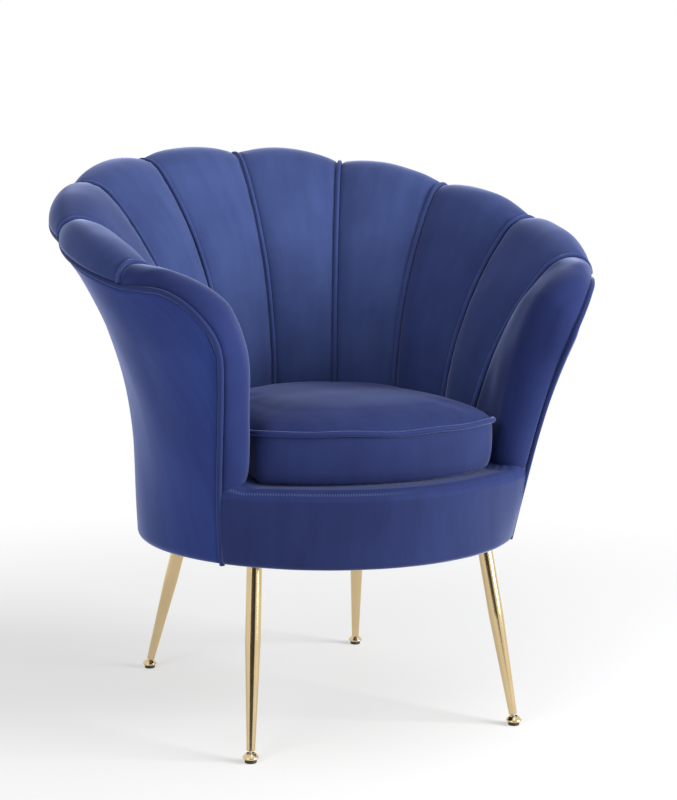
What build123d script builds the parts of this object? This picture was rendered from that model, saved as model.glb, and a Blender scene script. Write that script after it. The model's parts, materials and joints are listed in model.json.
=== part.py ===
from build123d import *
import os
from math import atan2, cos, degrees, radians, sin, sqrt, tan

# A shell-backed tub chair in millimetres: +Z up, front towards -Y, floor at Z = 0.
# The tub is set out round one upright axis. Angles count from the middle of the back,
# positive towards +X, and a radial section is drawn as (distance from axis, height).

# Tub and rim
tub_axis_y = -54.1  # the tub's axis, seen from the middle of the chair's depth
petal_angle = 28.0  # one padded channel of the shell
petals_each_side = 4  # channels between the back's middle and the arm seam
tub_radius = 192.0  # inner wall at a seam, at seat height
wall_depth = 72.0  # inner wall at a seam to the outside of the cover
flare_radius = 490.0  # the wall's outward curve
flare_angle = 40.0  # lean of the wall where the rolled rim starts
roll_radius = 50.0  # rolled rim, from that lean up to its crest
rim_back_height = 781.0  # crest of the seam at the back's middle
rim_arm_height = 636.0  # crest of the arm seams
lip_reach = 24.0  # crest to the outer end of the rolled rim
lip_drop = 24.0
petal_swell = 13.0  # a channel's crown above its seams
lip_swell = 8.0  # the scallop's reach beyond its notches
petal_pad = 18.0  # padding behind a seam
lip_pad = 12.0  # padding at the end of the rolled rim

# Welt cords and clearances
seam_cord = 6.0
edge_cord = 7.0
edge_cord_foot = 0.02  # where the cord starts, along the arm's edge
rise_steps = 4
brow_steps = 5
scallop_steps = 4
cord_gap = 1.1  # room each side of a cord
fit_gap = 0.3  # room between soft or wooden pieces

# Arm front edge, in side view: (distance before the tub's axis, height)
arm_foot_reach = 144.0
arm_foot_lean = 10.0
arm_brow_reach = 231.0  # where the straight edge turns into the rounded top
arm_brow_drop = 114.0
arm_top_reach = 190.0
arm_top_drop = 36.0
arm_foot_gap = 1.6  # front rail's cover to the arm's front channel
arm_foot_swell = 34.0  # how far the arm's front channel stands out at its foot
arm_swell = 54.0  # and over its upper part
arm_swell_start = 0.2  # from here on it grows, along the channel
arm_swell_grown = 0.5  # where the roundness is full, along the channel
arm_swell_fade = 0.4  # share of the channel, up to the rim, over which it fades again
arm_swell_share = 0.38  # most of it, of the channel's width
arm_nose = 0.62  # where its round nose starts, of the channel's width
arm_least_bow = 0.5  # bow of its inner side at the foot
arm_side_bow = 0.14  # how much its inner side bows out, of what it stands out
arm_stations = 8  # sections that shape the channel
arm_edge_gap = 2.5  # the channel's rim to the edge cord
arm_end_share = 0.95  # last section, along the arm's edge
arm_spread_start = 84.0  # degrees; from here on the cover leans out towards the arm's front
arm_spread_full = 127.0
arm_spread = 22.5  # how far it leans out there, up to the height below
arm_spread_height = 355.0
cover_end_angle = 133.0  # the cover's last section, before the arm's edge trims it
cover_end_lift = 12.0

# Base
base_bottom = 250.0
base_round = 9.0
base_round_share = 0.8  # how far in the lowest line of the rounded edge lies
cover_skin = 5.0  # padded cover over the frame
hem_skin = 1.5  # cover turned under the base
hem_width = 29.0
base_ring_thick = 18.0
base_ring_width = 116.0
hem_room = 8.0  # base's lowest edge to the underside of the base ring
seat_ring_thick = 20.0
seat_ring_width = 62.0
front_top = 352.0  # top of the front rail's cover
front_skin = 7.7
front_rail_depth = 30.0
front_flange = 48.0
front_round = 10.0  # the front rail's top edge
front_step = 12.0  # degrees between the sections of the leaning wall
front_lap = 2.0  # the front's wall over its flange
front_rail_half = 51.0
front_flange_half = 48.0
front_spread_end = 150.0  # degrees; from the arms to here the front's wall leans out with them
dust_skin = 1.2
dust_lap = 10.0  # dust cover over the hem

# Frame
ply = 15.0
rim_rail_width = 26.0
rim_rail_height = 18.0
rim_rail_inset = 22.0  # crest line to the rail's inner side
rim_rail_drop = 31.0  # crest to the rail's top
arm_post_start = 0.50  # along the arm's width, from the arm seam
arm_post_end = 0.75
arm_post_foot = 40.0
arm_post_top = 14.0
arm_post_stations = 5  # how many of the arm's sections the post follows
post_gap = 4.5
rib_top_room = 3.0

# Deck
web_width = 46.0
web_skin = 2.0
web_pitch = 62.0
web_count = 4
deck_cloth_skin = 1.2
deck_tongue_half = 150.0
deck_room = 5.0  # deck to the petals' crowns

# Seat cushion
cushion_edge_height = 420.0  # the welt line
cushion_top = 455.0
cushion_radius = 169.5
cushion_flare = 1.0  # degrees that the sides open towards the front
cushion_front_reach = 231.0
cushion_corner_reach = 175.0
cushion_corner_radius = 48.0
cushion_cord = 7.0
cushion_skin = 3.0
cushion_corner_draw = 0.35  # how much of an inset the front corners' radius gives up
cushion_under_inset = 14.0
cushion_waist = 1.5
cushion_crown_inset = 95.0
zip_height = 385.0
zip_opening = 10.0
zip_cut = 9.0  # depth of the opening, through the cover
zip_angle = 96.0
zip_skin = 2.0
slider_width = 9.0
slider_skin = 3.0
slider_margin = 1.0
slider_gap = 0.05
zip_end_room = 1.0  # degrees

# Legs and glides: (distance beside the middle, distance behind the tub's axis)
front_leg_top = (169.0, -151.0)
front_foot = (194.0, -199.0)
back_leg_top = (139.0, 190.0)
back_foot = (174.0, 270.0)
leg_radius = 10.0
leg_end_radius = 5.5
leg_wall = 1.5
leg_straight_share = 0.42  # of the leg's length, from the top
plate_length = 58.0
plate_width = 50.0
plate_skin = 4.0
plate_corner = 8.0
plate_radius = 216.0  # plate's middle to the tub's axis
screw_radius = 3.0
screw_head_radius = 5.5
screw_head_height = 3.5
screw_spread = 17.0  # screw to the plate's middle line
screw_room = 0.3
nut_flange_radius = 6.0
nut_flange = 1.6
nut_radius = 4.0
nut_length = 9.0
thread_gap = 0.05
pad_radius = 7.75
pad_height = 3.5
glide_radius = 10.7
glide_waist = 7.2  # height of the foot's widest line
glide_top_radius = 6.5
glide_top = 12.3
ball_radius = 4.0
ball_height = 8.8
ball_gap = 0.05
neck_radius = 2.0
mouth_angle = 58.0
collar_radius = 5.2
collar_start = 6.8  # ball's middle to the collar, along the stem
collar_end = 8.1
stem_radius = 4.0
stem_gap = 0.05
stem_depth = 24.0
stem_bore_depth = 30.0

# Worked out from the sizes above
arm_angle = petals_each_side * petal_angle
seam_angles = [petal_angle * k for k in range(-petals_each_side, petals_each_side + 1)]
rim_swing = (rim_back_height - rim_arm_height) / (1 - cos(radians(arm_angle)))
lean_sin = sin(radians(flare_angle))
lean_cos = cos(radians(flare_angle))
flare_rise = flare_radius * lean_sin + roll_radius * (1 - lean_sin)
crest_radius = tub_radius + flare_radius * (1 - lean_cos) + roll_radius * lean_cos
lip_radius = crest_radius + lip_reach
cover_radius = tub_radius + wall_depth
cord_room = edge_cord + 2 * cord_gap
cover_drop = lip_drop + cord_room  # rim's crest to the cover's top edge
wall_start = base_bottom + base_round
seam_half = seam_cord / 2 + fit_gap
base_ring_bottom = base_bottom + hem_room
base_ring_top = base_ring_bottom + base_ring_thick
petal_foot = base_ring_top + seat_ring_thick
rib_inner = tub_radius + petal_pad
base_ring_radius = cover_radius - front_skin - fit_gap
hem_inner = cover_radius - hem_width
hem_top = base_ring_bottom - fit_gap
hem_bottom = hem_top - hem_skin
plate_top = hem_bottom - dust_skin
plate_bottom = plate_top - plate_skin
tub_axis = Axis((0, tub_axis_y, 0), (0, 0, 1))
os.makedirs("parts", exist_ok=True)


def keep(builder, name):
    """Label a finished piece and write it."""
    builder.part.label = name
    export_step(builder.part, f"parts/{name}.step")


def rim_height(angle):
    """Height of the rim's crest line: a tilted plane, highest at the back."""
    return rim_back_height - rim_swing * (1 - cos(radians(angle)))


def radial_plane(angle):
    """Upright plane through the tub's axis: X is the distance from it, Y the height."""
    turn = radians(angle)
    return Plane((0, tub_axis_y, 0), x_dir=(sin(turn), cos(turn), 0), z_dir=(cos(turn), -sin(turn), 0))


def wall_points(crest, offset):
    """Bend, knee and crest of the wall's curve, shifted into the tub by offset."""
    bend_height = crest - flare_rise
    bend = (tub_radius - offset, bend_height)
    reach = flare_radius + offset
    knee = (tub_radius + flare_radius - reach * lean_cos, bend_height + reach * lean_sin)
    return bend, knee, (crest_radius, crest + offset)


def petal_section(plane, crest, swell, lip):
    """Radial section of a padded channel, from the seat ring over the rolled rim."""
    bend, knee, top = wall_points(crest, swell)
    back_bend, back_knee, back_top = wall_points(crest, -petal_pad)
    lip_end = (lip_radius + lip, crest - lip_drop)
    lip_back = (lip_radius - lip_pad, crest - lip_drop)
    with BuildSketch(plane) as section:
        with BuildLine():
            Line((bend[0], petal_foot + fit_gap), bend)
            TangentArc(bend, knee, tangent=(0, 1))
            TangentArc(knee, top, tangent=(lean_sin, lean_cos))
            TangentArc(top, lip_end, tangent=(1, 0))
            Line(lip_end, lip_back)
            TangentArc(back_top, lip_back, tangent=(1, 0))
            TangentArc(back_knee, back_top, tangent=(lean_sin, lean_cos))
            TangentArc(back_bend, back_knee, tangent=(0, 1))
            Line((back_bend[0], petal_foot + fit_gap), back_bend)
            Line((bend[0], petal_foot + fit_gap), (back_bend[0], petal_foot + fit_gap))
        make_face()
    return section.sketch


def flare_reach(height_above_bend):
    """How far the wall's curve has moved outwards at a height above its bend."""
    return flare_radius - sqrt(flare_radius**2 - max(height_above_bend, 0.0) ** 2)


def draw_base_round():
    """Draw the hem and the rounded lower edge of a cover."""
    round_start = (cover_radius - 2 * base_round, hem_bottom)
    round_end = (cover_radius, wall_start)
    Line((hem_inner, hem_bottom), round_start)
    ThreePointArc(round_start, (cover_radius - base_round * base_round_share, base_bottom), round_end)


def band_section(plane, inner, outer, low, high):
    """Radial section of a plain band."""
    with BuildSketch(plane) as section:
        with BuildLine():
            Polyline((inner, low), (outer, low), (outer, high), (inner, high), close=True)
        make_face()
    return section.sketch


def cover_bend(angle):
    """End of the cover's straight lower wall: it leans out and grows towards the arms' fronts."""
    spread = (max(abs(angle) - arm_spread_start, 0.0) / (arm_spread_full - arm_spread_start)) ** 2
    bend = rim_height(angle) - flare_rise
    return cover_radius + arm_spread * spread, bend + (arm_spread_height - bend) * spread


def cover_end(angle):
    """Top end of the cover, raised a little beyond the arm seams."""
    beyond = max(abs(angle) - arm_angle, 0.0) / (cover_end_angle - arm_angle)
    top = rim_height(angle) - cover_drop + cover_end_lift * beyond
    return cover_radius + flare_reach(top - rim_height(angle) + flare_rise), top


def cover_lean(angle):
    """Lean of the straight lower wall, in radians."""
    bend = cover_bend(angle)
    return atan2(bend[0] - cover_radius, bend[1] - wall_start)


def cover_reach(angle, height):
    """Distance from the tub's axis to the cover's surface."""
    bend = cover_bend(angle)
    lean = cover_lean(angle)
    if height < bend[1]:
        return cover_radius + (height - wall_start) * tan(lean)
    end = cover_end(angle)
    run = end[0] - bend[0]
    rise = end[1] - bend[1]
    curve = (run**2 + rise**2) / 2 / (run * cos(lean) - rise * sin(lean))
    above = height - bend[1] + curve * sin(lean)
    return bend[0] + curve * cos(lean) - sqrt(curve**2 - above**2)


def cover_section(angle, lip):
    """Radial section of the outer cover, with its hem turned under the base ring."""
    bend = cover_bend(angle)
    end = cover_end(angle)
    top = (end[0] + lip, end[1])
    lean = cover_lean(angle)
    way = (sin(lean), cos(lean))
    inner = cover_radius - cover_skin
    inner_bend = (bend[0] - cover_skin, bend[1])
    inner_top = (top[0] - cover_skin, top[1])
    with BuildSketch(radial_plane(angle)) as section:
        with BuildLine():
            draw_base_round()
            Line((cover_radius, wall_start), bend)
            TangentArc(bend, top, tangent=way)
            Line(top, inner_top)
            TangentArc(inner_bend, inner_top, tangent=way)
            Line(inner_bend, (inner, hem_top))
            Line((inner, hem_top), (hem_inner, hem_top))
            Line((hem_inner, hem_top), (hem_inner, hem_bottom))
        make_face()
    return section.sketch


# Back and arm channels between the arm seams: seam, crown and seam sections
for index in range(2 * petals_each_side):
    start = seam_angles[index]
    end = seam_angles[index + 1]
    middle = (start + end) / 2
    with BuildPart() as petal:
        loft(
            [
                petal_section(radial_plane(start).offset(seam_half), rim_height(start), 0, 0),
                petal_section(radial_plane(middle), rim_height(middle), petal_swell, lip_swell),
                petal_section(radial_plane(end).offset(-seam_half), rim_height(end), 0, 0),
            ]
        )
    keep(petal, f"petal_{index + 2:02d}")


def seam_point(angle, radius, height):
    """A point of a radial section, in the chair's frame."""
    return radial_plane(angle).from_local_coords(Vector(radius, height, 0))


def seam_path(angle):
    """The line of a seam's cord: up the wall, over the crest, down to the edge cord."""
    crest = rim_height(angle)
    bend, knee, top = wall_points(crest, 0)
    half = radians(flare_angle / 2)
    flare_middle = (bend[0] + flare_radius * (1 - cos(half)), bend[1] + flare_radius * sin(half))
    roll_turn = radians((flare_angle + 90) / 2)
    roll_middle = (crest_radius - roll_radius * cos(roll_turn), crest - roll_radius * (1 - sin(roll_turn)))
    lip_middle = (crest_radius + lip_reach * sin(radians(45)), crest - lip_drop * (1 - cos(radians(45))))
    with BuildLine() as path:
        Line(seam_point(angle, tub_radius, petal_foot + fit_gap), seam_point(angle, *bend))
        ThreePointArc(*[seam_point(angle, *point) for point in (bend, flare_middle, knee)])
        ThreePointArc(*[seam_point(angle, *point) for point in (knee, roll_middle, top)])
        ThreePointArc(
            seam_point(angle, *top),
            seam_point(angle, *lip_middle),
            seam_point(angle, lip_radius, crest - lip_drop),
        )
    return path.wire()


# Welt cords in the seams
for index, angle in enumerate(seam_angles):
    path = seam_path(angle)
    with BuildPart() as cord:
        with BuildSketch(Plane(path @ 0, z_dir=path % 0)):
            Circle(seam_cord / 2)
        sweep(path=path)
    keep(cord, f"seam_piping_{index + 1}")


# Arm front edge in side view: X is the distance behind the tub's axis, Y the height
shoulder = (lip_radius * cos(radians(arm_angle)), rim_arm_height - lip_drop - cord_room)
foot_lean = radians(arm_foot_lean)
edge_foot = (-arm_foot_reach, base_bottom)
edge_top = (-arm_top_reach, rim_arm_height - arm_top_drop)


def draw_arm_edge():
    """Draw the arm's front edge: the rising curve, the rounded brow and the line to the rim."""
    brow = (-arm_brow_reach, rim_arm_height - arm_brow_drop)
    rising = TangentArc(edge_foot, brow, tangent=(-sin(foot_lean), cos(foot_lean)))
    rounded = TangentArc(brow, edge_top, tangent=rising % 1)
    Line(edge_top, shoulder)
    return rising, rounded


with BuildLine() as arm_edge:
    edge_rise, edge_brow = draw_arm_edge()
arm_edge_wire = arm_edge.wire()


def arm_front_region(forward):
    """All that lies in front of the arm's edge in side view, moved forwards."""
    front = -2 * arm_brow_reach
    sky = 2 * rim_back_height
    with BuildSketch(Plane((0, tub_axis_y - forward, 0), x_dir=(0, 1, 0), z_dir=(1, 0, 0))) as region:
        with BuildLine():
            draw_arm_edge()
            Polyline(
                shoulder,
                (shoulder[0], sky),
                (front, sky),
                (front, 0),
                (-arm_foot_reach, 0),
                edge_foot,
            )
        make_face()
    return region.sketch


def cover_point(back, height, inset):
    """Where the outer cover's surface, moved in by inset, meets a side-view point."""
    beside = cover_radius
    for _ in range(12):
        angle = degrees(atan2(beside, back))
        radius = cover_reach(angle, height) - inset
        beside = sqrt(radius**2 - back**2)
    return Vector(beside, back + tub_axis_y, height)


def edge_cord_point(share):
    """The middle of the edge cord, just in front of the cover's cut edge."""
    place = arm_edge_wire @ share
    along = arm_edge_wire % share
    out = edge_cord / 2 + cord_gap
    return cover_point(place.X - along.Y * out, place.Y + along.X * out, cover_skin / 2)


# Outer cover: one skin, with the same seam and crown sections as the channels behind it
cover_end_angles = (arm_angle, (arm_angle + cover_end_angle) / 2, cover_end_angle)
with BuildPart() as outer_back_cover:
    for index in range(2 * petals_each_side):
        start = seam_angles[index]
        end = seam_angles[index + 1]
        middle = (start + end) / 2
        loft([cover_section(start, 0), cover_section(middle, lip_swell), cover_section(end, 0)])
    for side in (-1, 1):
        loft([cover_section(side * angle, 0) for angle in cover_end_angles])
    extrude(arm_front_region(0), amount=2 * cover_radius, both=True, mode=Mode.SUBTRACT)
keep(outer_back_cover, "outer_back_cover")


def share_at_height(path, height, upright):
    """How far along a rising path it reaches a height, by halving."""
    low = 0.0
    high = 0.6
    for _ in range(30):
        middle = (low + high) / 2
        place = path @ middle
        reached = place.Z if upright else place.Y
        if reached < height:
            low = middle
        else:
            high = middle
    return low


# Arm front channels: sections across the arm, from the arm seam to the edge cord
arm_foot = front_top + arm_foot_gap
arm_seam = seam_path(arm_angle)
seam_start = share_at_height(arm_seam, arm_foot, True)
edge_start = share_at_height(arm_edge_wire, arm_foot, False)
across_seam = radial_plane(arm_angle).z_dir


def arm_station(share):
    """Plane of a section across the arm, with its width; Y points out of the padding."""
    on_seam = seam_start + (1 - seam_start) * share
    on_edge = edge_start + (1 - edge_start) * share
    inner = arm_seam @ on_seam + across_seam * seam_half
    cord_middle = edge_cord_point(on_edge)
    chord = (inner - cord_middle).normalized()
    outer = cord_middle + chord * (edge_cord / 2 + arm_edge_gap)
    along = arm_edge_wire % on_edge
    swell_way = across_seam.cross(arm_seam % on_seam) + Vector(0, -along.Y, along.X)
    swell_way = Vector(swell_way.X, swell_way.Y, swell_way.Z * min(1.0, 3 * share))
    swell_way = swell_way - chord * swell_way.dot(chord)
    way = (outer - inner).normalized()
    return Plane(inner, x_dir=way, z_dir=way.cross(swell_way.normalized())), (outer - inner).length


def arm_section(share):
    """Across the arm's channel: a flat back, a slightly bowed inner side and a round nose."""
    plane, width = arm_station(share)
    grown = min(1.0, max(0.0, share - arm_swell_start) / (arm_swell_grown - arm_swell_start))
    swell = arm_foot_swell + (arm_swell - arm_foot_swell) * grown
    swell = min(swell * min(1.0, (1 - share) / arm_swell_fade), width * arm_swell_share)
    nose = (width * arm_nose, swell)
    bow = swell * arm_side_bow * grown
    with BuildSketch(plane) as section:
        with BuildLine():
            side = SagittaArc((0, 0), nose, bow + arm_least_bow)
            TangentArc(nose, (width, 0), tangent=side % 1)
            Line((width, 0), (0, 0))
        make_face()
    return section.sketch


def post_section(share):
    """Across the wooden post behind the arm's channel: a wedge that follows the cover."""
    plane, width = arm_station(share)
    depth = arm_post_foot + (arm_post_top - arm_post_foot) * share
    with BuildSketch(plane) as section:
        with BuildLine():
            Polyline(
                (width * arm_post_start, -post_gap),
                (width * arm_post_end, -post_gap),
                (width * arm_post_end, -depth * (1 - arm_post_end)),
                (width * arm_post_start, -depth * (1 - arm_post_start)),
                close=True,
            )
        make_face()
    return section.sketch


arm_shares = [arm_end_share * k / (arm_stations - 1) for k in range(arm_stations)]
with BuildPart() as right_arm:
    loft([arm_section(share) for share in arm_shares])
keep(right_arm, "petal_10")
with BuildPart() as left_arm:
    mirror(right_arm.part, about=Plane.YZ)
keep(left_arm, "petal_01")

with BuildPart() as right_post:
    loft([post_section(share) for share in arm_shares[:arm_post_stations]])
    extrude(post_section(0), amount=arm_foot - base_ring_bottom, dir=(0, 0, -1))
    split(bisect_by=Plane.XY.offset(base_ring_top), keep=Keep.TOP)
keep(right_post, "arm_post_right")
with BuildPart() as left_post:
    mirror(right_post.part, about=Plane.YZ)
keep(left_post, "arm_post_left")


def rim_cord_point(angle, lip):
    """The middle of the edge cord under the rolled rim's end."""
    return seam_point(angle, lip_radius - edge_cord / 2 + lip, rim_height(angle) - lip_drop - cord_room / 2)


def mirrored(point):
    return Vector(-point.X, point.Y, point.Z)


# Edge cord: up one arm's front, along the scallops and down the other arm
brow_start = edge_rise.length / arm_edge_wire.length
brow_end = brow_start + edge_brow.length / arm_edge_wire.length
arm_cord_shares = [edge_cord_foot + (brow_start - edge_cord_foot) * k / rise_steps for k in range(rise_steps)]
arm_cord_shares += [brow_start + (brow_end - brow_start) * k / brow_steps for k in range(brow_steps + 1)]
right_cord = [edge_cord_point(share) for share in arm_cord_shares]
cord_points = [mirrored(point) for point in right_cord]
for step in range(2 * petals_each_side * scallop_steps + 1):
    along_petal = (step % scallop_steps) / scallop_steps
    bulge = lip_swell * (1 - (2 * along_petal - 1) ** 2)
    cord_points.append(rim_cord_point(petal_angle * step / scallop_steps - arm_angle, bulge))
cord_points.extend(reversed(right_cord))


def cord_circle(index):
    """Cross-section of the edge cord, square to the line through its neighbours."""
    before = cord_points[max(index - 1, 0)]
    after = cord_points[min(index + 1, len(cord_points) - 1)]
    way = (after - before).normalized()
    inward = Vector(-cord_points[index].X, tub_axis_y - cord_points[index].Y, 0)
    inward = inward - way * inward.dot(way)
    with BuildSketch(Plane(cord_points[index], x_dir=inward, z_dir=way)) as section:
        Circle(edge_cord / 2)
    return section.sketch


with BuildPart() as edge_piping:
    loft([cord_circle(index) for index in range(len(cord_points))], ruled=True)
keep(edge_piping, "edge_piping")


# Back ribs, one behind each seam, cut to the lower side of the rim and the steeper side of the cover
rib_half_angle = degrees(ply / 2 / crest_radius)
with BuildPart() as back_ribs:
    for angle in seam_angles:
        sides = [rim_height(angle - rib_half_angle), rim_height(angle + rib_half_angle)]
        crest = min(sides)
        bend, knee, top = wall_points(crest, -petal_pad - fit_gap)
        cover_bend = max(sides) - flare_rise
        outer = cover_radius - cover_skin - fit_gap
        rib_top = crest - cover_drop - rib_top_room
        outer_top = (outer + flare_reach(rib_top - cover_bend) - fit_gap, rib_top)
        lip_under = (lip_radius - lip_pad - fit_gap, crest - lip_drop - fit_gap)
        with BuildSketch(radial_plane(angle)) as rib:
            with BuildLine():
                Line((bend[0], base_ring_top), bend)
                TangentArc(bend, knee, tangent=(0, 1))
                TangentArc(knee, top, tangent=(lean_sin, lean_cos))
                Line(top, lip_under)
                Line(lip_under, outer_top)
                TangentArc((outer, cover_bend), outer_top, tangent=(0, 1))
                Line((outer, cover_bend), (outer, base_ring_top))
                Line((outer, base_ring_top), (bend[0], base_ring_top))
            make_face()
        extrude(rib.sketch, amount=ply / 2, both=True)
keep(back_ribs, "back_ribs")


def rail_section(plane, angle):
    """Section of the rim rail under the rolled rim."""
    inner = crest_radius - rim_rail_inset
    top = rim_height(angle) - rim_rail_drop
    with BuildSketch(plane) as section:
        with BuildLine():
            Polyline(
                (inner, top),
                (inner + rim_rail_width, top),
                (inner + rim_rail_width, top - rim_rail_height),
                (inner, top - rim_rail_height),
                close=True,
            )
        make_face()
    return section.sketch


# Rim rails, let in between the ribs
with BuildPart() as rim_rails:
    for start, end in zip(seam_angles[:-1], seam_angles[1:]):
        middle = (start + end) / 2
        loft(
            [
                rail_section(radial_plane(start).offset(ply / 2 + fit_gap), start),
                rail_section(radial_plane(middle), middle),
                rail_section(radial_plane(end).offset(-ply / 2 - fit_gap), end),
            ]
        )
keep(rim_rails, "rim_rails")


def leg_place(spot):
    """A point given beside the middle and behind the tub's axis, in the chair's frame."""
    return (spot[0], spot[1] + tub_axis_y)


# Screw places under the base: two to each leg plate, side by side
leg_names = ("front_right", "front_left", "back_right", "back_left")
leg_tops = {}
leg_feet = {}
for side, hand in ((1, "right"), (-1, "left")):
    leg_tops["front_" + hand] = (side * front_leg_top[0], front_leg_top[1])
    leg_feet["front_" + hand] = (side * front_foot[0], front_foot[1])
    leg_tops["back_" + hand] = (side * back_leg_top[0], back_leg_top[1])
    leg_feet["back_" + hand] = (side * back_foot[0], back_foot[1])
plate_turns = {name: atan2(leg_tops[name][1], leg_tops[name][0]) for name in leg_names}
screw_places = []
for name in leg_names:
    turn = plate_turns[name]
    for spread in (-screw_spread, screw_spread):
        along = (plate_radius * cos(turn) - spread * sin(turn), plate_radius * sin(turn) + spread * cos(turn))
        screw_places.append(leg_place(along))

# Base ring and seat ring
with BuildPart() as base_ring:
    with BuildSketch(Plane((0, tub_axis_y, base_ring_bottom))):
        Circle(base_ring_radius)
        Circle(base_ring_radius - base_ring_width, mode=Mode.SUBTRACT)
    extrude(amount=base_ring_thick)
    with BuildSketch(Plane.XY.offset(base_ring_bottom)):
        with Locations(*screw_places):
            Circle(nut_radius + screw_room)
    extrude(amount=base_ring_thick, mode=Mode.SUBTRACT)
keep(base_ring, "base_ring")

with BuildPart() as seat_ring:
    with BuildSketch(Plane((0, tub_axis_y, base_ring_top))):
        Circle(rib_inner - fit_gap)
        Circle(rib_inner - fit_gap - seat_ring_width, mode=Mode.SUBTRACT)
    extrude(amount=seat_ring_thick)
keep(seat_ring, "seat_ring")

# Front rail and its padded cover, between the arms' front edges
rail_outer = cover_radius - front_skin
rail_top = front_top - front_skin
with BuildPart() as front_rail:
    revolve(
        band_section(
            radial_plane(180 - front_rail_half),
            rail_outer - front_rail_depth,
            rail_outer - fit_gap,
            base_ring_top,
            rail_top - fit_gap,
        ),
        axis=tub_axis,
        revolution_arc=-2 * front_rail_half,
    )
keep(front_rail, "front_rail")

ledge_start = cover_radius - front_round - front_lap


def front_section(angle):
    """Radial section of the front rail's cover, whose wall leans out towards the arms."""
    near_arm = max(front_spread_end - angle, 0.0) / (front_spread_end - arm_spread_full)
    lean = atan2(arm_spread * near_arm**2, arm_spread_height - wall_start)
    out = (front_top - front_round - wall_start) * tan(lean)
    wall_end = (cover_radius + out, front_top - front_round)
    front_edge = (cover_radius + out - front_round, front_top)
    with BuildSketch(radial_plane(angle)) as section:
        with BuildLine():
            draw_base_round()
            Line((cover_radius, wall_start), wall_end)
            TangentArc(wall_end, front_edge, tangent=(0, 1))
            Polyline(
                front_edge,
                (ledge_start, front_top),
                (ledge_start, rail_top),
                (rail_outer + out, rail_top),
                (rail_outer, hem_top),
                (hem_inner, hem_top),
                (hem_inner, hem_bottom),
            )
        make_face()
    return section.sketch


front_angles = [front_spread_end - front_step * k for k in range(3, -1, -1)]
with BuildPart() as right_front:
    loft([front_section(angle) for angle in front_angles])
with BuildPart() as front_rail_cover:
    revolve(front_section(front_spread_end), axis=tub_axis, revolution_arc=-2 * (180 - front_spread_end))
    add(right_front.part)
    mirror(right_front.part, about=Plane.YZ)
    extrude(arm_front_region(cord_room), amount=2 * cover_radius, both=True, mode=Mode.INTERSECT)
    revolve(
        band_section(
            radial_plane(180 - front_flange_half),
            cover_radius - front_flange,
            cover_radius - front_round,
            rail_top,
            front_top,
        ),
        axis=tub_axis,
        revolution_arc=-2 * front_flange_half,
    )
keep(front_rail_cover, "front_rail_cover")

# Dust cover over the hem
with BuildPart() as dust_cover:
    with BuildSketch(Plane((0, tub_axis_y, plate_top))):
        Circle(hem_inner + dust_lap)
    extrude(amount=dust_skin)
    with BuildSketch(Plane.XY.offset(plate_top)):
        with Locations(*screw_places):
            Circle(screw_radius + screw_room)
    extrude(amount=dust_skin, mode=Mode.SUBTRACT)
keep(dust_cover, "dust_cover")

# Seat webbing: a layer of bands across, and one from front to back over it
web_reach = tub_radius - petal_swell - deck_room
with BuildPart() as seat_webbing:
    for layer in range(2):
        with BuildSketch(Plane((0, tub_axis_y, petal_foot + layer * web_skin))) as bands:
            for index in range(web_count):
                place = (index - (web_count - 1) / 2) * web_pitch
                half_length = sqrt(web_reach**2 - (abs(place) + web_width / 2) ** 2)
                with Locations((0, place) if layer == 0 else (place, 0)):
                    if layer == 0:
                        Rectangle(2 * half_length, web_width)
                    else:
                        Rectangle(web_width, 2 * half_length)
        extrude(bands.sketch, amount=web_skin)
keep(seat_webbing, "seat_webbing")

# Deck foam and its cloth: a round seat with a tongue forward to the front rail
deck_bottom = petal_foot + 2 * web_skin
deck_top = front_top - deck_cloth_skin
for name, bottom, thick in (
    ("deck_foam", deck_bottom, deck_top - deck_bottom),
    ("deck_cloth", deck_top, deck_cloth_skin),
):
    with BuildPart() as deck:
        with BuildSketch(Plane((0, tub_axis_y, bottom))):
            Circle(cover_radius - front_flange - fit_gap)
            with Locations((0, -cover_radius)):
                Rectangle(2 * deck_tongue_half, 2 * cover_radius, mode=Mode.INTERSECT)
            Circle(web_reach)
        extrude(amount=thick)
    keep(deck, name)


def cushion_outline(height, inset):
    """Plan of the cushion at a height, drawn in by inset: round behind, wider in front."""
    radius = cushion_radius - inset
    lean = radians(cushion_flare)
    side_start = (radius * cos(lean), radius * sin(lean))
    corner_y = -(cushion_corner_reach - inset)
    corner = (side_start[0] + (side_start[1] - corner_y) * tan(lean), corner_y)
    front_y = -(cushion_front_reach - inset)
    with BuildSketch(Plane((0, tub_axis_y, height))) as plan:
        with BuildLine():
            ThreePointArc(side_start, (0, radius), (-side_start[0], side_start[1]))
            Line((-side_start[0], side_start[1]), (-corner[0], corner[1]))
            ThreePointArc((-corner[0], corner[1]), (0, front_y), corner)
            Line(corner, side_start)
        make_face()
        front_corners = plan.vertices().group_by(Axis.Y)[0]
        fillet(front_corners, radius=cushion_corner_radius - inset * cushion_corner_draw)
    return plan.sketch


cushion_bottom = front_top + fit_gap
cushion_height = cushion_edge_height - cushion_bottom
cushion_crown = cushion_top - cushion_edge_height


# Cushion shape: shares of the height and of the inset, then how far a skin lifts and draws in each plan
boxing_shape = ((0.0, 1.0, 1.0, 0.4), (0.07, 0.45, 0.6, 0.8), (0.2, 0.15, 0.0, 1.0))
crown_shape = ((0.3, 0.1, -0.9, 0.6), (0.6, 0.27, -0.95, 0.4), (0.85, 0.55, -1.0, 0.2), (1.0, 1.0, -1.0, 0.0))


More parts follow.
